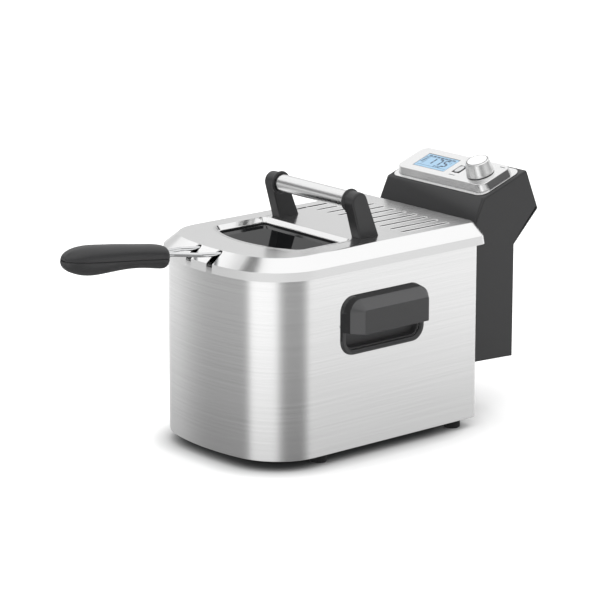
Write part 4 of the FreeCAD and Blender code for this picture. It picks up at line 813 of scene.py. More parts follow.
@dataclass
class Lid(Assembly):
    """Pressed steel lid with a smoked window, a vent grille and a bar between two posts."""

    body: str = "lid"
    brow_roll: float = 1.4
    slot_roll: float = 0.4
    post_roll: float = 1.4
    frame_roll: float = 0.25
    post_foot_roll: float = 0.3
    notch_reach: float = 27.0
    notch_depth: float = 40.0
    notch_tapers: tuple[tuple[float, float], ...] = ((0.2, 38.0), (0.5, 50.0))
    brow_width: float = 20.0
    rear_width: float = 6.0
    window_to_vents: float = 40.0
    vents: int = 10
    vent_pitch: float = 17.86
    vent_width: float = 4.6
    vent_front: float = 95.7
    vent_rear: float = 166.5
    rim_width: float = 1.3
    rim_height: float = 0.5

    def build(self, palette: dict[str, bpy.types.Material]) -> None:
        """Builds and dresses the pressing, the window and the handle."""
        self.build_pressing(palette)
        self.build_vent_rims(palette)
        self.build_window(palette)
        self.build_handle(palette)

    def build_pressing(self, palette: dict[str, bpy.types.Material]) -> None:
        """Rolls the pressing's brow, less and less towards the notch, and softens the slots."""
        low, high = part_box("lid_shell")
        _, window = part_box("window_frame")
        notch_end = low.y + self.notch_depth * MM
        vent_front = window.y + self.window_to_vents * MM
        level = high.z - 0.1 * MM
        reach = high.x - self.brow_width * MM

        def on_brow(p: Vector) -> bool:
            if p.z < level or abs(p.x) < self.notch_reach * MM and p.y < notch_end:
                return False
            inside = abs(p.x) < reach and low.y + self.brow_width * MM < p.y
            return not inside or p.y > high.y - self.rear_width * MM

        def beside_notch(limit: float) -> Test:
            return lambda p: p.y < notch_end and abs(p.x) < limit * MM and on_brow(p)

        rolls = [(width, beside_notch(limit)) for width, limit in self.notch_tapers]
        rolls += [
            (self.brow_roll, on_brow),
            (self.slot_roll, lambda p: p.z > level and p.y > vent_front),
        ]
        piece = self.take("lid_shell")
        self.roll(piece, rolls, 18.0, 4)
        self.dress(piece, palette["steel_lid"], "steel_lid")

    def build_vent_rims(self, palette: dict[str, bpy.types.Material]) -> None:
        """Raises a low bright rim round every slot: a ring drawn out and flattened."""
        _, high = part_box("lid_shell")
        bpy.ops.object.select_all(action="DESELECT")
        bpy.ops.mesh.primitive_torus_add(
            major_segments=24,
            minor_segments=8,
            major_radius=(self.vent_width + self.rim_width) / 2 * MM,
            minor_radius=self.rim_width / 2 * MM,
        )
        rim = bpy.context.object
        reach = (self.vent_rear - self.vent_front - self.vent_width) / 2 * MM
        work = edit(rim)
        for corner in work.verts:
            corner.co.z *= self.rim_height
            corner.co.y += reach if corner.co.y > -0.001 * MM else -reach
        bmesh.update_edit_mesh(rim.data)
        close()
        copies = []
        for index in range(self.vents):
            copy = rim.copy()
            copy.data = rim.data.copy()
            bpy.context.scene.collection.objects.link(copy)
            across = (index - (self.vents - 1) / 2) * self.vent_pitch * MM
            copy.location = (across, (self.vent_front + self.vent_rear) / 2 * MM, high.z)
            settle(copy)
            copies.append(copy)
        bpy.data.objects.remove(rim)
        piece = joined(copies, "vent_rims")
        self.dress(piece, palette["bright_steel"], "bright_steel", 60.0, weighted=False)

    def build_window(self, palette: dict[str, bpy.types.Material]) -> None:
        """Softens the bright window frame."""
        rolls = [(self.frame_roll, anywhere)]
        self.rounded("window_frame", palette["bright_steel"], "bright_steel", rolls, 25.0)

    def build_handle(self, palette: dict[str, bpy.types.Material]) -> None:
        """Softens the posts but leaves their feet tight on the lid."""
        for side in ("left", "right"):
            node = f"handle_post_{side}"
            low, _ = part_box(node)
            rolls = [
                (self.post_foot_roll, lambda p, low=low: p.z < low.z + 0.3 * MM),
                (self.post_roll, anywhere),
            ]
            self.rounded(node, palette["dark_plastic"], "dark_plastic", rolls, 30.0)


@dataclass
class ControlUnit(Assembly):
    """Moulded column behind the tub with the steel fascia, screen and element."""

    body: str = "control_unit"
    edge_roll: float = 2.2
    tilt: float = 19.2
    lens_u: float = -27.5
    lens_v: float = 33.0
    lens_n: float = 9.25
    dial_u: float = 47.5
    dial_v: float = 31.8
    trim_roll: float = 0.4
    cover_roll: float = 0.3
    wall: float = 3.2
    seam_behind: float = 8.0
    seam_above: float = 4.0
    skirt_behind: float = 41.0
    skirt_top: float = 200.0
    screen_size: tuple[float, float] = (51.6, 27.1)
    screen_levels: tuple[float, float] = (8.8, 9.5)
    surround_size: tuple[float, float] = (52.8, 28.3)
    surround_levels: tuple[float, float] = (8.65, 9.3)
    screen_corner: float = 0.6
    ink_level: float = 9.53
    ink_thick: float = 0.15
    dash_levels: tuple[float, float] = (9.9, 10.06)
    island_roll: float = 0.8
    island_corner: float = 9.0
    island_top: float = 10.0
    island_draft: float = 2.4
    key_gap: float = 1.0
    gap_sink: float = 0.3
    gap_rise: float = 0.06
    end_thick: float = 0.3
    end_bottom: float = 1.3
    end_sink: float = 0.7
    end_shift: float = 0.42

    def spot(self, u: float, v: float, n: float) -> Vector:
        """Point of the sloping fascia: across, up the slope and outwards, in millimetres."""
        low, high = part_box("lcd_lens")
        turn = math.radians(self.tilt)
        along = Vector((0, math.cos(turn), math.sin(turn)))
        out = Vector((0, -math.sin(turn), math.cos(turn)))
        middle = (low + high) / 2
        steps = Vector((u - self.lens_u, 0, 0)) + along * (v - self.lens_v)
        return middle + (steps + out * (n - self.lens_n)) * MM

    def span(self, node: str) -> tuple[Vector, Vector]:
        """Measures a node along the fascia.

        Args:
            node: name of a CAD node that is square to the fascia.

        Returns:
            Its middle and its size, both across, up the slope and outwards, in millimetres.
        """
        low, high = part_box(node)
        lens_low, lens_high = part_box("lcd_lens")
        size = (high - low) / MM
        arm = (low + high - lens_low - lens_high) / (2 * MM)
        c, s = math.cos(math.radians(self.tilt)), math.sin(math.radians(self.tilt))
        length = (size.y * c - size.z * s) / (c * c - s * s)
        height = (size.z * c - size.y * s) / (c * c - s * s)
        up, out = arm.y * c + arm.z * s, arm.z * c - arm.y * s
        middle = Vector((self.lens_u + arm.x, self.lens_v + up, self.lens_n + out))
        return middle, Vector((size.x, length, height))

    def plate(
        self,
        name: str,
        centre: tuple[float, float],
        size: tuple[float, float],
        levels: tuple[float, float],
        corner: float = 0.0,
    ) -> bpy.types.Object:
        """Models a thin plate on the fascia.

        Args:
            name: name of the piece.
            centre: its middle across and up the slope, in millimetres.
            size: its width and height, in millimetres.
            levels: lower and upper level above the fascia, in millimetres.
            corner: radius of its corners, in millimetres.

        Returns:
            The plate, with its place in its mesh.
        """
        n0, n1 = levels
        bpy.ops.object.select_all(action="DESELECT")
        bpy.ops.mesh.primitive_cube_add(
            size=1.0,
            location=self.spot(centre[0], centre[1], (n0 + n1) / 2),
            rotation=(math.radians(self.tilt), 0, 0),
        )
        piece = bpy.context.object
        piece.name = name
        piece.scale = (size[0] * MM, size[1] * MM, (n1 - n0) * MM)
        bpy.context.view_layer.update()
        bpy.ops.object.transform_apply(location=False, rotation=False, scale=True)
        if corner:
            work = edit(piece)
            for rim in work.edges:
                run = rim.verts[0].co - rim.verts[1].co
                rim.select_set(abs(run.z) > 0.9 * run.length)
            bmesh.update_edit_mesh(piece.data)
            bpy.ops.mesh.bevel(offset=corner * MM, segments=3, affect="EDGES")
            close()
        settle(piece)
        return piece

    def build(self, palette: dict[str, bpy.types.Material]) -> None:
        """Builds and dresses the shell, fascia, screen and marks, and the painted shade of the
        gaps.
        """
        self.build_shell(palette)
        steel = palette["steel_panel"]
        self.rounded("panel_trim", steel, "steel_panel", [(self.trim_roll, anywhere)], 40.0)
        self.rounded("panel_island", steel, "steel_panel", [(self.island_roll, anywhere)], 40.0)
        self.build_screen(palette)
        self.build_segments(palette)
        self.build_marks(palette)
        self.build_gaps(palette)

    def build_shell(self, palette: dict[str, bpy.types.Material]) -> None:
        """Rounds the column's outer edges but keeps the joint with the rear cover tight."""
        _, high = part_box("control_case")
        _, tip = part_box("control_rear_cover")

        def at_seam(p: Vector) -> bool:
            beside = p.y > tip.y - self.seam_behind * MM and p.z < tip.z + self.seam_above * MM
            return beside or p.y > tip.y - self.skirt_behind * MM and p.z < self.skirt_top * MM

        def outer(p: Vector) -> bool:
            wall = self.wall * MM
            return (abs(p.x) > high.x - wall or p.z > high.z - wall) and not at_seam(p)

        piece = self.take("control_case")
        self.roll(piece, [(self.edge_roll, outer)], 40.0)
        self.dress(piece, palette["unit_plastic"], "unit_plastic")
        cover = self.take("control_rear_cover")
        self.roll(cover, [(self.cover_roll, anywhere)], 40.0, 2)
        self.dress(cover, palette["unit_plastic"], "unit_plastic")

    def build_screen(self, palette: dict[str, bpy.types.Material]) -> None:
        """Replaces the lens by a lit face in a black surround, painted shadow of its gap."""
        middle = (self.lens_u, self.lens_v)
        face = self.plate(
            "screen_face", middle, self.screen_size, self.screen_levels, self.screen_corner
        )
        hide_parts("lcd_lens")
        self.dress(face, palette["lcd_glass"], "lcd_glass", weighted=False)
        surround = self.plate(
            "screen_surround", middle, self.surround_size, self.surround_levels, self.screen_corner
        )
        self.dress(surround, palette["gap"], "lcd_glass", weighted=False)

    def build_segments(self, palette: dict[str, bpy.types.Material]) -> None:
        """Draws generic numbers and bars on the screen as one thin piece.

        Each bar is its middle across and up from the screen's, its width and its height.
        """
        bpy.ops.object.select_all(action="DESELECT")
        bpy.ops.mesh.primitive_cube_add(size=1.0)
        stroke = bpy.context.object
        stroke.scale = (MM, MM, self.ink_thick * MM)
        settle(stroke)
        bars = [(x, 10.6, 4.9, 1.7) for x in (-19.5, -13.0, -6.5, 0.0, 6.5, 13.0, 19.5)]
        bars += [(-21.5, y, 4.6, 1.3) for y in (6.4, 3.2, 0.0, -3.2)]
        bars += [(0.0, 8.6, 48.0, 0.25), (-17.8, -0.6, 0.25, 18.2), (0.0, -9.8, 48.0, 0.25)]
        bars += self.number("175", (-9.0, 1.0), (6.8, 12.0), 2.0)
        bars += self.number("5", (3.5, -7.6), (2.0, 3.2), 0.5)
        bars += self.number("00", (8.6, -7.6), (2.0, 3.2), 0.5)
        bars += [(6.2, y, 0.5, 0.5) for y in (-7.0, -8.2)]
        bars += [(20.0, y, 2.0, 0.6) for y in (5.2, 3.0)]
        copies = [self.stamped(stroke, bar) for bar in bars]
        bpy.data.objects.remove(stroke)
        piece = joined(copies, "screen_segments")
        self.dress(piece, palette["ink"], "lcd_glass", weighted=False)

    def number(
        self, digits: str, start: tuple[float, float], size: tuple[float, float], width: float
    ) -> list[tuple[float, float, float, float]]:
        """Lays out digits of seven strokes.

        Args:
            digits: the number.
            start: middle of the first digit from the screen's middle, in millimetres.
            size: a digit's width and height, in millimetres.
            width: stroke width, in millimetres.

        Returns:
            A list of strokes: middle across and up, width and height.
        """
        wide, tall = size
        places = {
            "a": (0.0, tall / 2, wide - width, width),
            "b": (wide / 2, tall / 4, width, tall / 2 - width / 2),
            "c": (wide / 2, -tall / 4, width, tall / 2 - width / 2),
            "d": (0.0, -tall / 2, wide - width, width),
            "e": (-wide / 2, -tall / 4, width, tall / 2 - width / 2),
            "f": (-wide / 2, tall / 4, width, tall / 2 - width / 2),
            "g": (0.0, 0.0, wide - width, width),
        }
        lit = {"0": "abcdef", "1": "bc", "5": "acdfg", "7": "abc"}
        strokes = []
        for index, digit in enumerate(digits):
            left = start[0] + index * (wide + 2.4 * width)
            for key in lit[digit]:
                u, v, a, b = places[key]
                strokes.append((left + u, start[1] + v, a, b))
        return strokes

    def stamped(
        self, stroke: bpy.types.Object, bar: tuple[float, float, float, float]
    ) -> bpy.types.Object:
        """Copies the unit stroke to a place and size on the screen.

        Args:
            stroke: flat stroke of one millimetre square at the origin.
            bar: middle across and up from there, width and height, in millimetres.

        Returns:
            The copy, with its place in its mesh.
        """
        copy = stroke.copy()
        copy.data = stroke.data.copy()
        bpy.context.scene.collection.objects.link(copy)
        copy.location = self.spot(self.lens_u + bar[0], self.lens_v + bar[1], self.ink_level)
        copy.rotation_euler = (math.radians(self.tilt), 0, 0)
        copy.scale = (bar[2], bar[3], 1.0)
        settle(copy)
        return copy

    def build_marks(self, palette: dict[str, bpy.types.Material]) -> None:
        """Prints short plain dashes beside the button and the dial, in place of words."""
        places = ((15.4, 16.4, 9.0, 1.1), (31.5, 52.0, 8.0, 1.1), (64.0, 52.0, 8.0, 1.1))
        dashes = [
            self.plate(f"panel_dash_{index}", (u, v), (wide, tall), self.dash_levels)
            for index, (u, v, wide, tall) in enumerate(places)
        ]
        piece = joined(dashes, "panel_dashes")
        self.dress(piece, palette["mark"], "steel_panel", weighted=False)

    def build_gaps(self, palette: dict[str, bpy.types.Material]) -> None:
        """Adds painted shadow round the button and painted shade on the fascia's end wall."""
        middle, size = self.span("menu_button")
        face, block = self.span("panel_island")
        level = self.island_top
        # painted shadow: a black plate round the button
        gap = self.plate(
            "key_gap",
            (middle.x, middle.y),
            (size.x + self.key_gap, size.y + self.key_gap),
            (level - self.gap_sink, level + self.gap_rise),
            size.y / 2,
        )
        self.dress(gap, palette["gap"], "steel_panel", weighted=False)
        # painted shade: a darker steel plate over the fascia's end wall
        end = self.plate(
            "island_end",
            (face.x + block.x / 2, face.y),
            (self.end_thick, block.y - 2 * self.island_corner),
            (self.end_bottom, level - self.end_sink),
        )
        out = (self.spot(0, 0, 1) - self.spot(0, 0, 0)).normalized()
        root = self.spot(0, 0, level / 2)
        for corner in end.data.vertices:
            rise = (corner.co - root).dot(out)
            corner.co.x -= (rise / (level * MM) + self.end_shift) * self.island_draft * MM
        self.dress(end, palette["painted_shade_steel"], "steel_panel", weighted=False)


@dataclass
class Dial(Assembly):
    """Turned metal knob with a dished top on a moulded core."""

    body: str = "dial"
    hub: Vector = field(default_factory=Vector)
    axis: Vector = field(default_factory=Vector)
    rim: float = 1.5
    thick: float = 1.2
    proud: float = 0.1
    edge_band: float = 0.4
    edge_roll: float = 0.3
    dish: tuple[tuple[float, float], ...] = ((0.3, 0.25), (1.6, -0.15), (2.6, -0.1))

    def build(self, palette: dict[str, bpy.types.Material]) -> None:
        """Softens the knob's edges and gives it the lathe's rings."""
        rolls = [(self.edge_roll, anywhere)]
        self.rounded("knob_body", palette["spun"], "steel_panel", rolls, 25.0)
        self.build_face(palette)

    def build_face(self, palette: dict[str, bpy.types.Material]) -> None:
        """Turns the shallow dished face that lies in the knob's rim."""
        hub, out = self.hub, self.axis
        arms = [corner.co - hub for corner in frame["nodes"]["knob_body"].data.vertices]
        top = max(arm.dot(out) for arm in arms)
        brim = [arm for arm in arms if arm.dot(out) > top - self.edge_band * MM]
        radius = max((arm - out * arm.dot(out)).length for arm in brim) - self.rim * MM
        bpy.ops.object.select_all(action="DESELECT")
        bpy.ops.mesh.primitive_cylinder_add(vertices=64, radius=radius, depth=self.thick * MM)
        piece = bpy.context.object
        piece.name = "dial_face"
        work = edit(piece)
        for face in work.faces:
            face.select_set(face.normal.z > 0.9)
        bmesh.update_edit_mesh(piece.data)
        for inward, rise in self.dish:
            bpy.ops.mesh.inset(thickness=inward * MM)
            bpy.ops.transform.translate(value=(0, 0, rise * MM))
        close()
        piece.rotation_euler = out.to_track_quat("Z", "Y").to_euler()
        piece.location = hub + out * (top + self.proud * MM - self.thick / 2 * MM)
        settle(piece)
        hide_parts("knob_cap")
        self.dress(piece, palette["cap"], "bright_steel", 50.0, weighted=False)


@dataclass
class MenuKey(Assembly):
    """Oblong metal button."""

    body: str = "menu_key"
    edge_roll: float = 0.7

    def build(self, palette: dict[str, bpy.types.Material]) -> None:
        """Domes the button's edge."""
        rolls = [(self.edge_roll, anywhere)]
        self.rounded("menu_button", palette["button_metal"], "button_metal", rolls, 40.0)


@dataclass
class BasketHandle(Assembly):
    """Two-part moulded grip on two bright wires."""

    body: str = "basket_handle"
    seam_roll: float = 0.9

    def build(self, palette: dict[str, bpy.types.Material]) -> None:
        """Opens the grip's seam to a fine groove and brightens the wires."""
        rolls = [(self.seam_roll, anywhere)]
        for half in ("grip_top", "grip_bottom"):
            self.rounded(half, palette["dark_plastic"], "dark_plastic", rolls, 30.0, 2)
        wires = self.take("handle_wires")
        self.dress(wires, palette["wire_steel"], "wire_steel", weighted=False)


@dataclass
class Basket(Assembly):
    """Frying basket of woven wire with a stiff rim, hoops and a bracket."""

    body: str = "basket"
    half: float = 83.5
    rear_corner: float = 22.0
    front_corner: float = 39.5
    bow: float = 246.5
    inset: float = 1.1
    round: float = 11.0
    bends: int = 3
    columns: int = 26
    rows: int = 37
    floors: int = 20
    wire: float = 1.1

    def build(self, palette: dict[str, bpy.types.Material]) -> None:
        """Weaves the mesh and brightens the frame."""
        self.build_mesh(palette)
        for node in ("basket_rim", "basket_frame", "basket_bracket"):
            piece = self.take(node)
            self.dress(piece, palette["wire_steel"], "wire_steel", weighted=False)

    def front(self, x: float, low_y: float) -> float:
        """The outline's front at a distance across, in millimetres.

        Args:
            x: distance from the middle.
            low_y: the outline's foremost point.

        Returns:
            The front's place along Y.
        """
        bow = self.bow - self.inset
        corner = self.front_corner - self.inset
        corner_x = self.half - self.inset - corner
        corner_y = low_y + bow - math.sqrt((bow - corner) ** 2 - corner_x**2)
        share = corner_x / (bow - corner)
        if abs(x) < bow * share:
            return low_y + bow - math.sqrt(bow**2 - x**2)
        side = min(abs(x) - corner_x, corner)
        return corner_y - math.sqrt(max(corner**2 - side**2, 0.0))

    def build_mesh(self, palette: dict[str, bpy.types.Material]) -> None:
        """Bends a grid to the floor's outline, draws its rim up and turns every edge to wire."""
        low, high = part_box("basket_mesh")
        foremost = low.y / MM + self.inset
        rearmost = high.y / MM - self.inset
        half = self.half - self.inset
        rear = self.rear_corner - self.inset
        bpy.ops.object.select_all(action="DESELECT")
        bpy.ops.mesh.primitive_grid_add(
            x_subdivisions=self.columns, y_subdivisions=self.rows, size=2.0
        )
        piece = bpy.context.object
        piece.name = "basket_weave"
        shrink = self.round
        work = edit(piece)
        for corner in work.verts:
            x = corner.co.x * half
            beyond = max(abs(x) - (half - rear), 0.0)
            back = rearmost - rear + math.sqrt(max(rear**2 - beyond**2, 0.0))
            front = self.front(x, foremost)
            y = front + (back - front) * (corner.co.y + 1) / 2
            middle = (foremost + rearmost) / 2
            x *= (half - shrink) / half
            y = middle + (y - middle) * (1 - 2 * shrink / (rearmost - foremost))
            corner.co = Vector((x, y, 0)) * MM
            corner.co.z = low.z + self.inset * MM
        for side in work.edges:
            if side.is_boundary:
                side.select_set(True)
        bmesh.update_edit_mesh(piece.data)
        centre = Vector((0, (foremost + rearmost) / 2 * MM, 0))
        reach_x, reach_y = half - shrink, (rearmost - foremost) / 2 - shrink
        for index in range(self.bends):
            a0, a1 = (math.radians(90 * k / self.bends) for k in (index, index + 1))
            out = shrink * (math.sin(a1) - math.sin(a0))
            rise = shrink * (math.cos(a0) - math.cos(a1)) * MM
            grow_x, grow_y = (reach_x + out) / reach_x, (reach_y + out) / reach_y
            reach_x, reach_y = reach_x + out, reach_y + out
            self.draw_up(rise, (grow_x, grow_y), centre)
        straight = (high.z - low.z) / MM - self.inset - shrink
        for _ in range(self.floors):
            self.draw_up(straight / self.floors * MM, (1.0, 1.0), centre)
        bpy.ops.mesh.select_all(action="SELECT")
        bpy.ops.mesh.normals_make_consistent(inside=False)
        close()
        thickness = self.wire * MM
        apply(piece, "WIREFRAME", thickness=thickness, use_even_offset=False, use_boundary=True)
        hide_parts("basket_mesh")
        self.dress(piece, palette["wire_steel"], "wire_steel", weighted=False)

    def draw_up(self, rise: float, grow: tuple[float, float], centre: Vector) -> None:
        """Extrudes the selected rim upwards and outwards.

        Args:
            rise: height of the step in metres.
            grow: growth across and along.
            centre: point that the growth keeps.
        """
        move = {"value": (0, 0, rise)}
        bpy.ops.mesh.extrude_region_move(TRANSFORM_OT_translate=move)
        if grow != (1.0, 1.0):
            bpy.ops.transform.resize(value=(grow[0], grow[1], 1.0), center_override=centre)


@dataclass(frozen=True)
class Card:
    """Lit card or dark flag far away: a window of bearings and heights in the world's light."""

    bearing: float
    half: float
    soft: float
    light: float
    bottom: float = -90.0
    top: float = 90.0
    fade: float = 8.0

    def mask(
        self, tree: bpy.types.NodeTree, bearing: bpy.types.NodeSocket, height: bpy.types.NodeSocket
    ) -> bpy.types.NodeSocket:
        """Builds the card's share of each direction.

        Args:
            tree: node tree of the world.
            bearing: level direction of the ray, of length one.
            height: the ray's vertical part.

        Returns:
            A socket that is 1 on the card and 0 away from it.
        """
        if self.half >= 180.0:
            everywhere = add(tree, "Value", {})
            everywhere.outputs[0].default_value = 1.0
            result = everywhere.outputs[0]
        else:
            turn = math.radians(self.bearing)
            sockets = {0: bearing, 1: (math.cos(turn), math.sin(turn), 0.0)}
            near = add(tree, "VectorMath", sockets, operation="DOT_PRODUCT")
            outer = math.cos(math.radians(min(self.half + self.soft, 180.0)))
            inner = math.cos(math.radians(self.half))
            sockets = {0: near.outputs["Value"], 1: outer, 2: inner}
            result = add(tree, "MapRange", sockets, interpolation_type="SMOOTHSTEP").outputs[0]
        for edge, way in ((self.bottom, 1), (self.top, -1)):
            if abs(edge) < 90.0:
                low = math.sin(math.radians(edge - way * self.fade / 2))
                high = math.sin(math.radians(edge + way * self.fade / 2))
                ends = {1: min(low, high), 2: max(low, high), 3: float(way < 0), 4: float(way > 0)}
                side = add(tree, "MapRange", {0: height, **ends}, interpolation_type="SMOOTHSTEP")
                product = add(tree, "Math", {0: result, 1: side.outputs[0]}, operation="MULTIPLY")
                result = product.outputs[0]
        return result


@dataclass
class Studio:
    """White sweep, soft world with a few cards and flags, one sun and the camera."""

    azimuth: float = 49.74
    elevation: float = 14.68
    distance: float = 3.3869
    lens: float = 181.9
    aim_forward: float = 0.0171
    aim_height: float = 0.1561
    sensor: float = 36.0
    far_limit: float = 100.0
    floor_size: float = 14.0
    sun_energy: float = 2.0
    sun_width: float = 140.0
    sun_turn: tuple[float, float] = (12.0, -8.0)
    base_light: float = 1.05
    apron_size: float = 4.0
    apron_level: float = 0.0005
    apron_reach: float = 0.7
    apron_light: tuple[float, float] = (0.58, 1.0)
    outline_corner: float = 0.07
    # distance from the tub's outline and the paper's grey there, a painted contact shadow
    shade: tuple[tuple[float, float], ...] = (
        (-0.05, 0.01),
        (-0.02, 0.2),
        (0.0, 0.62),
        (0.02, 0.9),
        (0.045, 1.0),
    )
    cards: tuple[Card, ...] = (
        # level bands that the tub's walls show; they end just under the horizon
        Card(-172.0, 10.0, 22.0, 0.8, top=-4.0, fade=10.0),
        Card(-126.0, 6.0, 34.0, 0.36, top=-4.0, fade=10.0),
        Card(-68.0, 13.0, 20.0, 1.35, top=-4.0, fade=10.0),
        Card(-8.0, 9.0, 28.0, 0.26, top=-4.0, fade=10.0),
        # low flags round the front, for the dark lines along the lid's folds
        Card(-45.0, 112.0, 18.0, 0.12, bottom=3.0, top=26.0, fade=8.0),
        # just under the horizon, for the lid's skirt
        Card(-45.0, 112.0, 18.0, 0.78, bottom=-9.0, top=-1.0, fade=4.0),
        # behind the fryer, for the lid's top
        Card(140.0, 40.0, 40.0, 0.68, bottom=0.0, top=25.0, fade=12.0),
        # flags for the dark line along the bar and the front chamfer's grey band
        Card(-142.0, 20.0, 16.0, 0.2, bottom=8.0, top=22.0, fade=8.0),
        Card(-160.0, 16.0, 22.0, 0.12, bottom=54.0, top=74.0, fade=14.0),
        # the floor's far side in the dark lower edges
        Card(0.0, 180.0, 0.0, 0.5, top=-34.0, fade=16.0),
    )

    def build(self) -> None:
        """Builds the camera, the floor, the world and the sun."""
        self.build_camera()
        self.build_floor()
        self.build_apron()
        self.build_world()
        self.build_sun()

    def build_camera(self) -> None:
        """Sets the camera on its bearing from the middle of the fryer."""
        low, high = Vector(CAD_BOX[0]), Vector(CAD_BOX[1])
        middle = (low + high) / 2
        target = Vector((middle.x, middle.y + self.aim_forward, self.aim_height))
        turn, rise = math.radians(self.azimuth), math.radians(self.elevation)
        level = math.cos(rise)
        back = Vector((math.sin(turn) * level, -math.cos(turn) * level, math.sin(rise)))
        bpy.ops.object.camera_add(location=target + back * self.distance)
        camera = bpy.context.object
        camera.rotation_euler = (-back).to_track_quat("-Z", "Y").to_euler()
        camera.data.lens = self.lens
        camera.data.sensor_width = self.sensor
        camera.data.clip_end = self.far_limit
        bpy.context.scene.camera = camera

    def build_floor(self) -> None:
        """Lays the white floor, which mirrors don't see so that the cards below show."""
        bpy.ops.object.select_all(action="DESELECT")
        bpy.ops.mesh.primitive_plane_add(size=self.floor_size)
        floor = bpy.context.object
        floor.name = "studio_floor"
        floor.data.materials.append(self.paper())
        floor.visible_glossy = False

    def paper(self) -> bpy.types.Material:
        """White paper with a painted contact shadow: grey where the tub stands close over it.

        Returns:
            The floor's material.
        """
        material = bpy.data.materials.new("white paper, painted contact shadow")
        material.use_nodes = True
        tree = material.node_tree
        tree.nodes.clear()
        low, high = self.shade[0][0], self.shade[-1][0]
        # painted contact shadow: the paper darkens towards the tub's outline
        share = add(tree, "MapRange", {0: self.distance_out(tree), 1: low, 2: high})
        ramp = add(tree, "ValToRGB", {0: share.outputs[0]})
        stops = ramp.color_ramp.elements
        while len(stops) < len(self.shade):
            stops.new(0.5)
        for stop, (place, _) in zip(stops, self.shade):
            stop.position = (place - low) / (high - low)
        for stop, (_, grey) in zip(stops, self.shade):
            stop.color = (grey, grey, grey, 1.0)
        sheet = add(tree, "BsdfDiffuse", {"Color": ramp.outputs[0]})
        add(tree, "OutputMaterial", {"Surface": sheet.outputs[0]})
        return material

    def distance_out(self, tree: bpy.types.NodeTree) -> bpy.types.NodeSocket:
        """Level distance from the tub's outline, negative under the tub.

        Args:
            tree: node tree of a material on the floor.

        Returns:
            The distance in metres.
        """
        low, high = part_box("outer_housing")
        middle, half = (low + high) / 2, (high - low) / 2
        corner = self.outline_corner
        where = add(tree, "TexCoord", {})
        sockets = {0: where.outputs["Object"], 1: (middle.x, middle.y, 0.0)}
        arm = add(tree, "VectorMath", sockets, operation="SUBTRACT")
        size = add(tree, "VectorMath", {0: arm.outputs[0]}, operation="ABSOLUTE")
        sockets = {0: size.outputs[0], 1: (half.x - corner, half.y - corner, 1.0)}
        beyond = add(tree, "VectorMath", sockets, operation="SUBTRACT")
        sockets = {0: beyond.outputs[0], 1: (0, 0, 0)}
        outside = add(tree, "VectorMath", sockets, operation="MAXIMUM")
        gap = add(tree, "VectorMath", {0: outside.outputs[0]}, operation="LENGTH")
        parts = add(tree, "SeparateXYZ", {0: beyond.outputs[0]})
        sockets = {0: parts.outputs[0], 1: parts.outputs[1]}
        larger = add(tree, "Math", sockets, operation="MAXIMUM")
        inner = add(tree, "Math", {0: larger.outputs[0], 1: 0.0}, operation="MINIMUM")
        sockets = {0: gap.outputs["Value"], 1: inner.outputs[0]}
        total = add(tree, "Math", sockets, operation="ADD")
        return add(tree, "Math", {0: total.outputs[0], 1: corner}, operation="SUBTRACT").outputs[0]

    def build_world(self) -> None:
        """Paints the studio by direction: bright above, cards and flags round about."""
        world = bpy.data.worlds.new("studio")
        bpy.context.scene.world = world
        world.use_nodes = True
        tree = world.node_tree
        tree.nodes.clear()
        where = add(tree, "TexCoord", {})
        ray = where.outputs["Generated"]
        level_ray = add(tree, "VectorMath", {0: ray, 1: (1.0, 1.0, 0.0)}, operation="MULTIPLY")
        bearing = add(tree, "VectorMath", {0: level_ray.outputs[0]}, operation="NORMALIZE")
        height = add(tree, "SeparateXYZ", {0: ray})
        base = add(tree, "Value", {})
        base.outputs[0].default_value = self.base_light
        light = base.outputs[0]
        for card in self.cards:
            mask = card.mask(tree, bearing.outputs[0], height.outputs[2])
            mixed = add(tree, "Mix", {0: mask, 2: light, 3: card.light})
            light = mixed.outputs[0]
        seen = add(tree, "LightPath", {})
        final = add(tree, "Mix", {0: seen.outputs["Is Camera Ray"], 2: light, 3: 1.0})
        background = add(tree, "Background", {"Color": (1, 1, 1, 1), "Strength": final.outputs[0]})
        add(tree, "OutputWorld", {"Surface": background.outputs[0]})

    def build_apron(self) -> None:
        """Lays painted floor shadow beside the tub that only reflections see: walls darken
        downwards.
        """
        bpy.ops.object.select_all(action="DESELECT")
        bpy.ops.mesh.primitive_plane_add(size=self.apron_size, location=(0, 0, self.apron_level))
        apron = bpy.context.object
        apron.name = "studio_apron"
        material = bpy.data.materials.new("painted floor shadow for reflections")
        material.use_nodes = True
        tree = material.node_tree
        tree.nodes.clear()
        # painted shadow: the sheet's grey fades from the tub's outline outwards
        near, far = self.apron_light
        sockets = {0: self.distance_out(tree), 1: 0.0, 2: self.apron_reach, 3: near, 4: far}
        tone = add(tree, "MapRange", sockets)
        film = add(tree, "BsdfTransparent", {0: tone.outputs[0]})
        add(tree, "OutputMaterial", {"Surface": film.outputs[0]})
        apron.data.materials.append(material)
        apron.visible_camera = False
        apron.visible_diffuse = False
        apron.visible_shadow = False
        apron.visible_transmission = False

    def build_sun(self) -> None:
        """Adds one very broad light overhead that whitens the paper; mirrors don't see it."""
        forward, sideways = (math.radians(turn) for turn in self.sun_turn)
        bpy.ops.object.light_add(type="SUN", rotation=(forward, sideways, 0))
        sun = bpy.context.object
        sun.data.energy = self.sun_energy
        sun.data.angle = math.radians(self.sun_width)
        sun.visible_glossy = False


def dress_rest(palette: dict[str, bpy.types.Material]) -> None:
    """Gives every CAD node the finish of its slot.

    Args:
        palette: material by slot name.
    """
    for entry in frame["record"]["subparts"]:
        node = frame["nodes"][entry["node"]]
        if len(node.data.materials) == 0:
            node.data.materials.append(palette[entry["material_slot"]])
        for place in node.material_slots:
            place.material = palette[entry["material_slot"]]


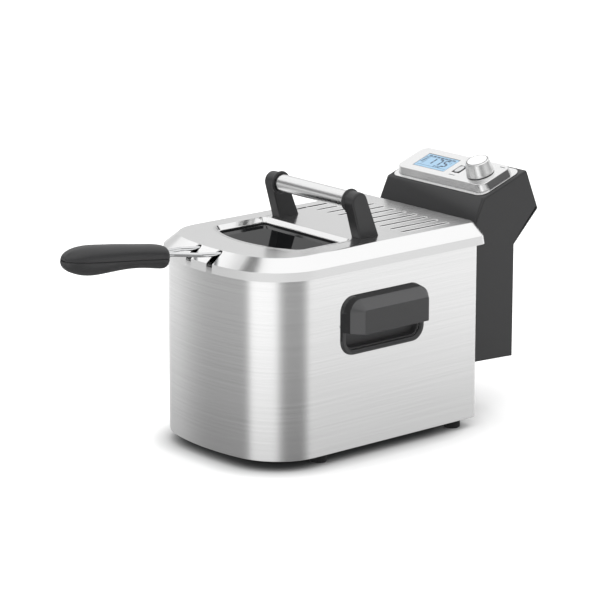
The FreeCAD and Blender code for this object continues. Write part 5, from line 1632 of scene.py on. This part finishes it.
def main() -> None:
    """Builds the studio and the fryer's sub-assemblies in order."""
    logging.basicConfig(level=logging.INFO, format="%(name)s: %(message)s")
    bpy.context.scene.view_settings.view_transform = "Standard"
    unit = ControlUnit()
    hub = unit.spot(unit.dial_u, unit.dial_v, 0.0)
    out = unit.spot(0, 0, 1.0) - unit.spot(0, 0, 0.0)
    palette = Palette(tuple(hub), tuple(out.normalized())).make()
    Studio().build()
    dress_rest(palette)
    dial = Dial(hub=hub, axis=out.normalized())
    for part in (Housing(), Lid(), unit, dial, MenuKey(), Basket(), BasketHandle()):
        part.build(palette)
    bpy.context.view_layer.update()


if __name__ == "__main__":
    main()
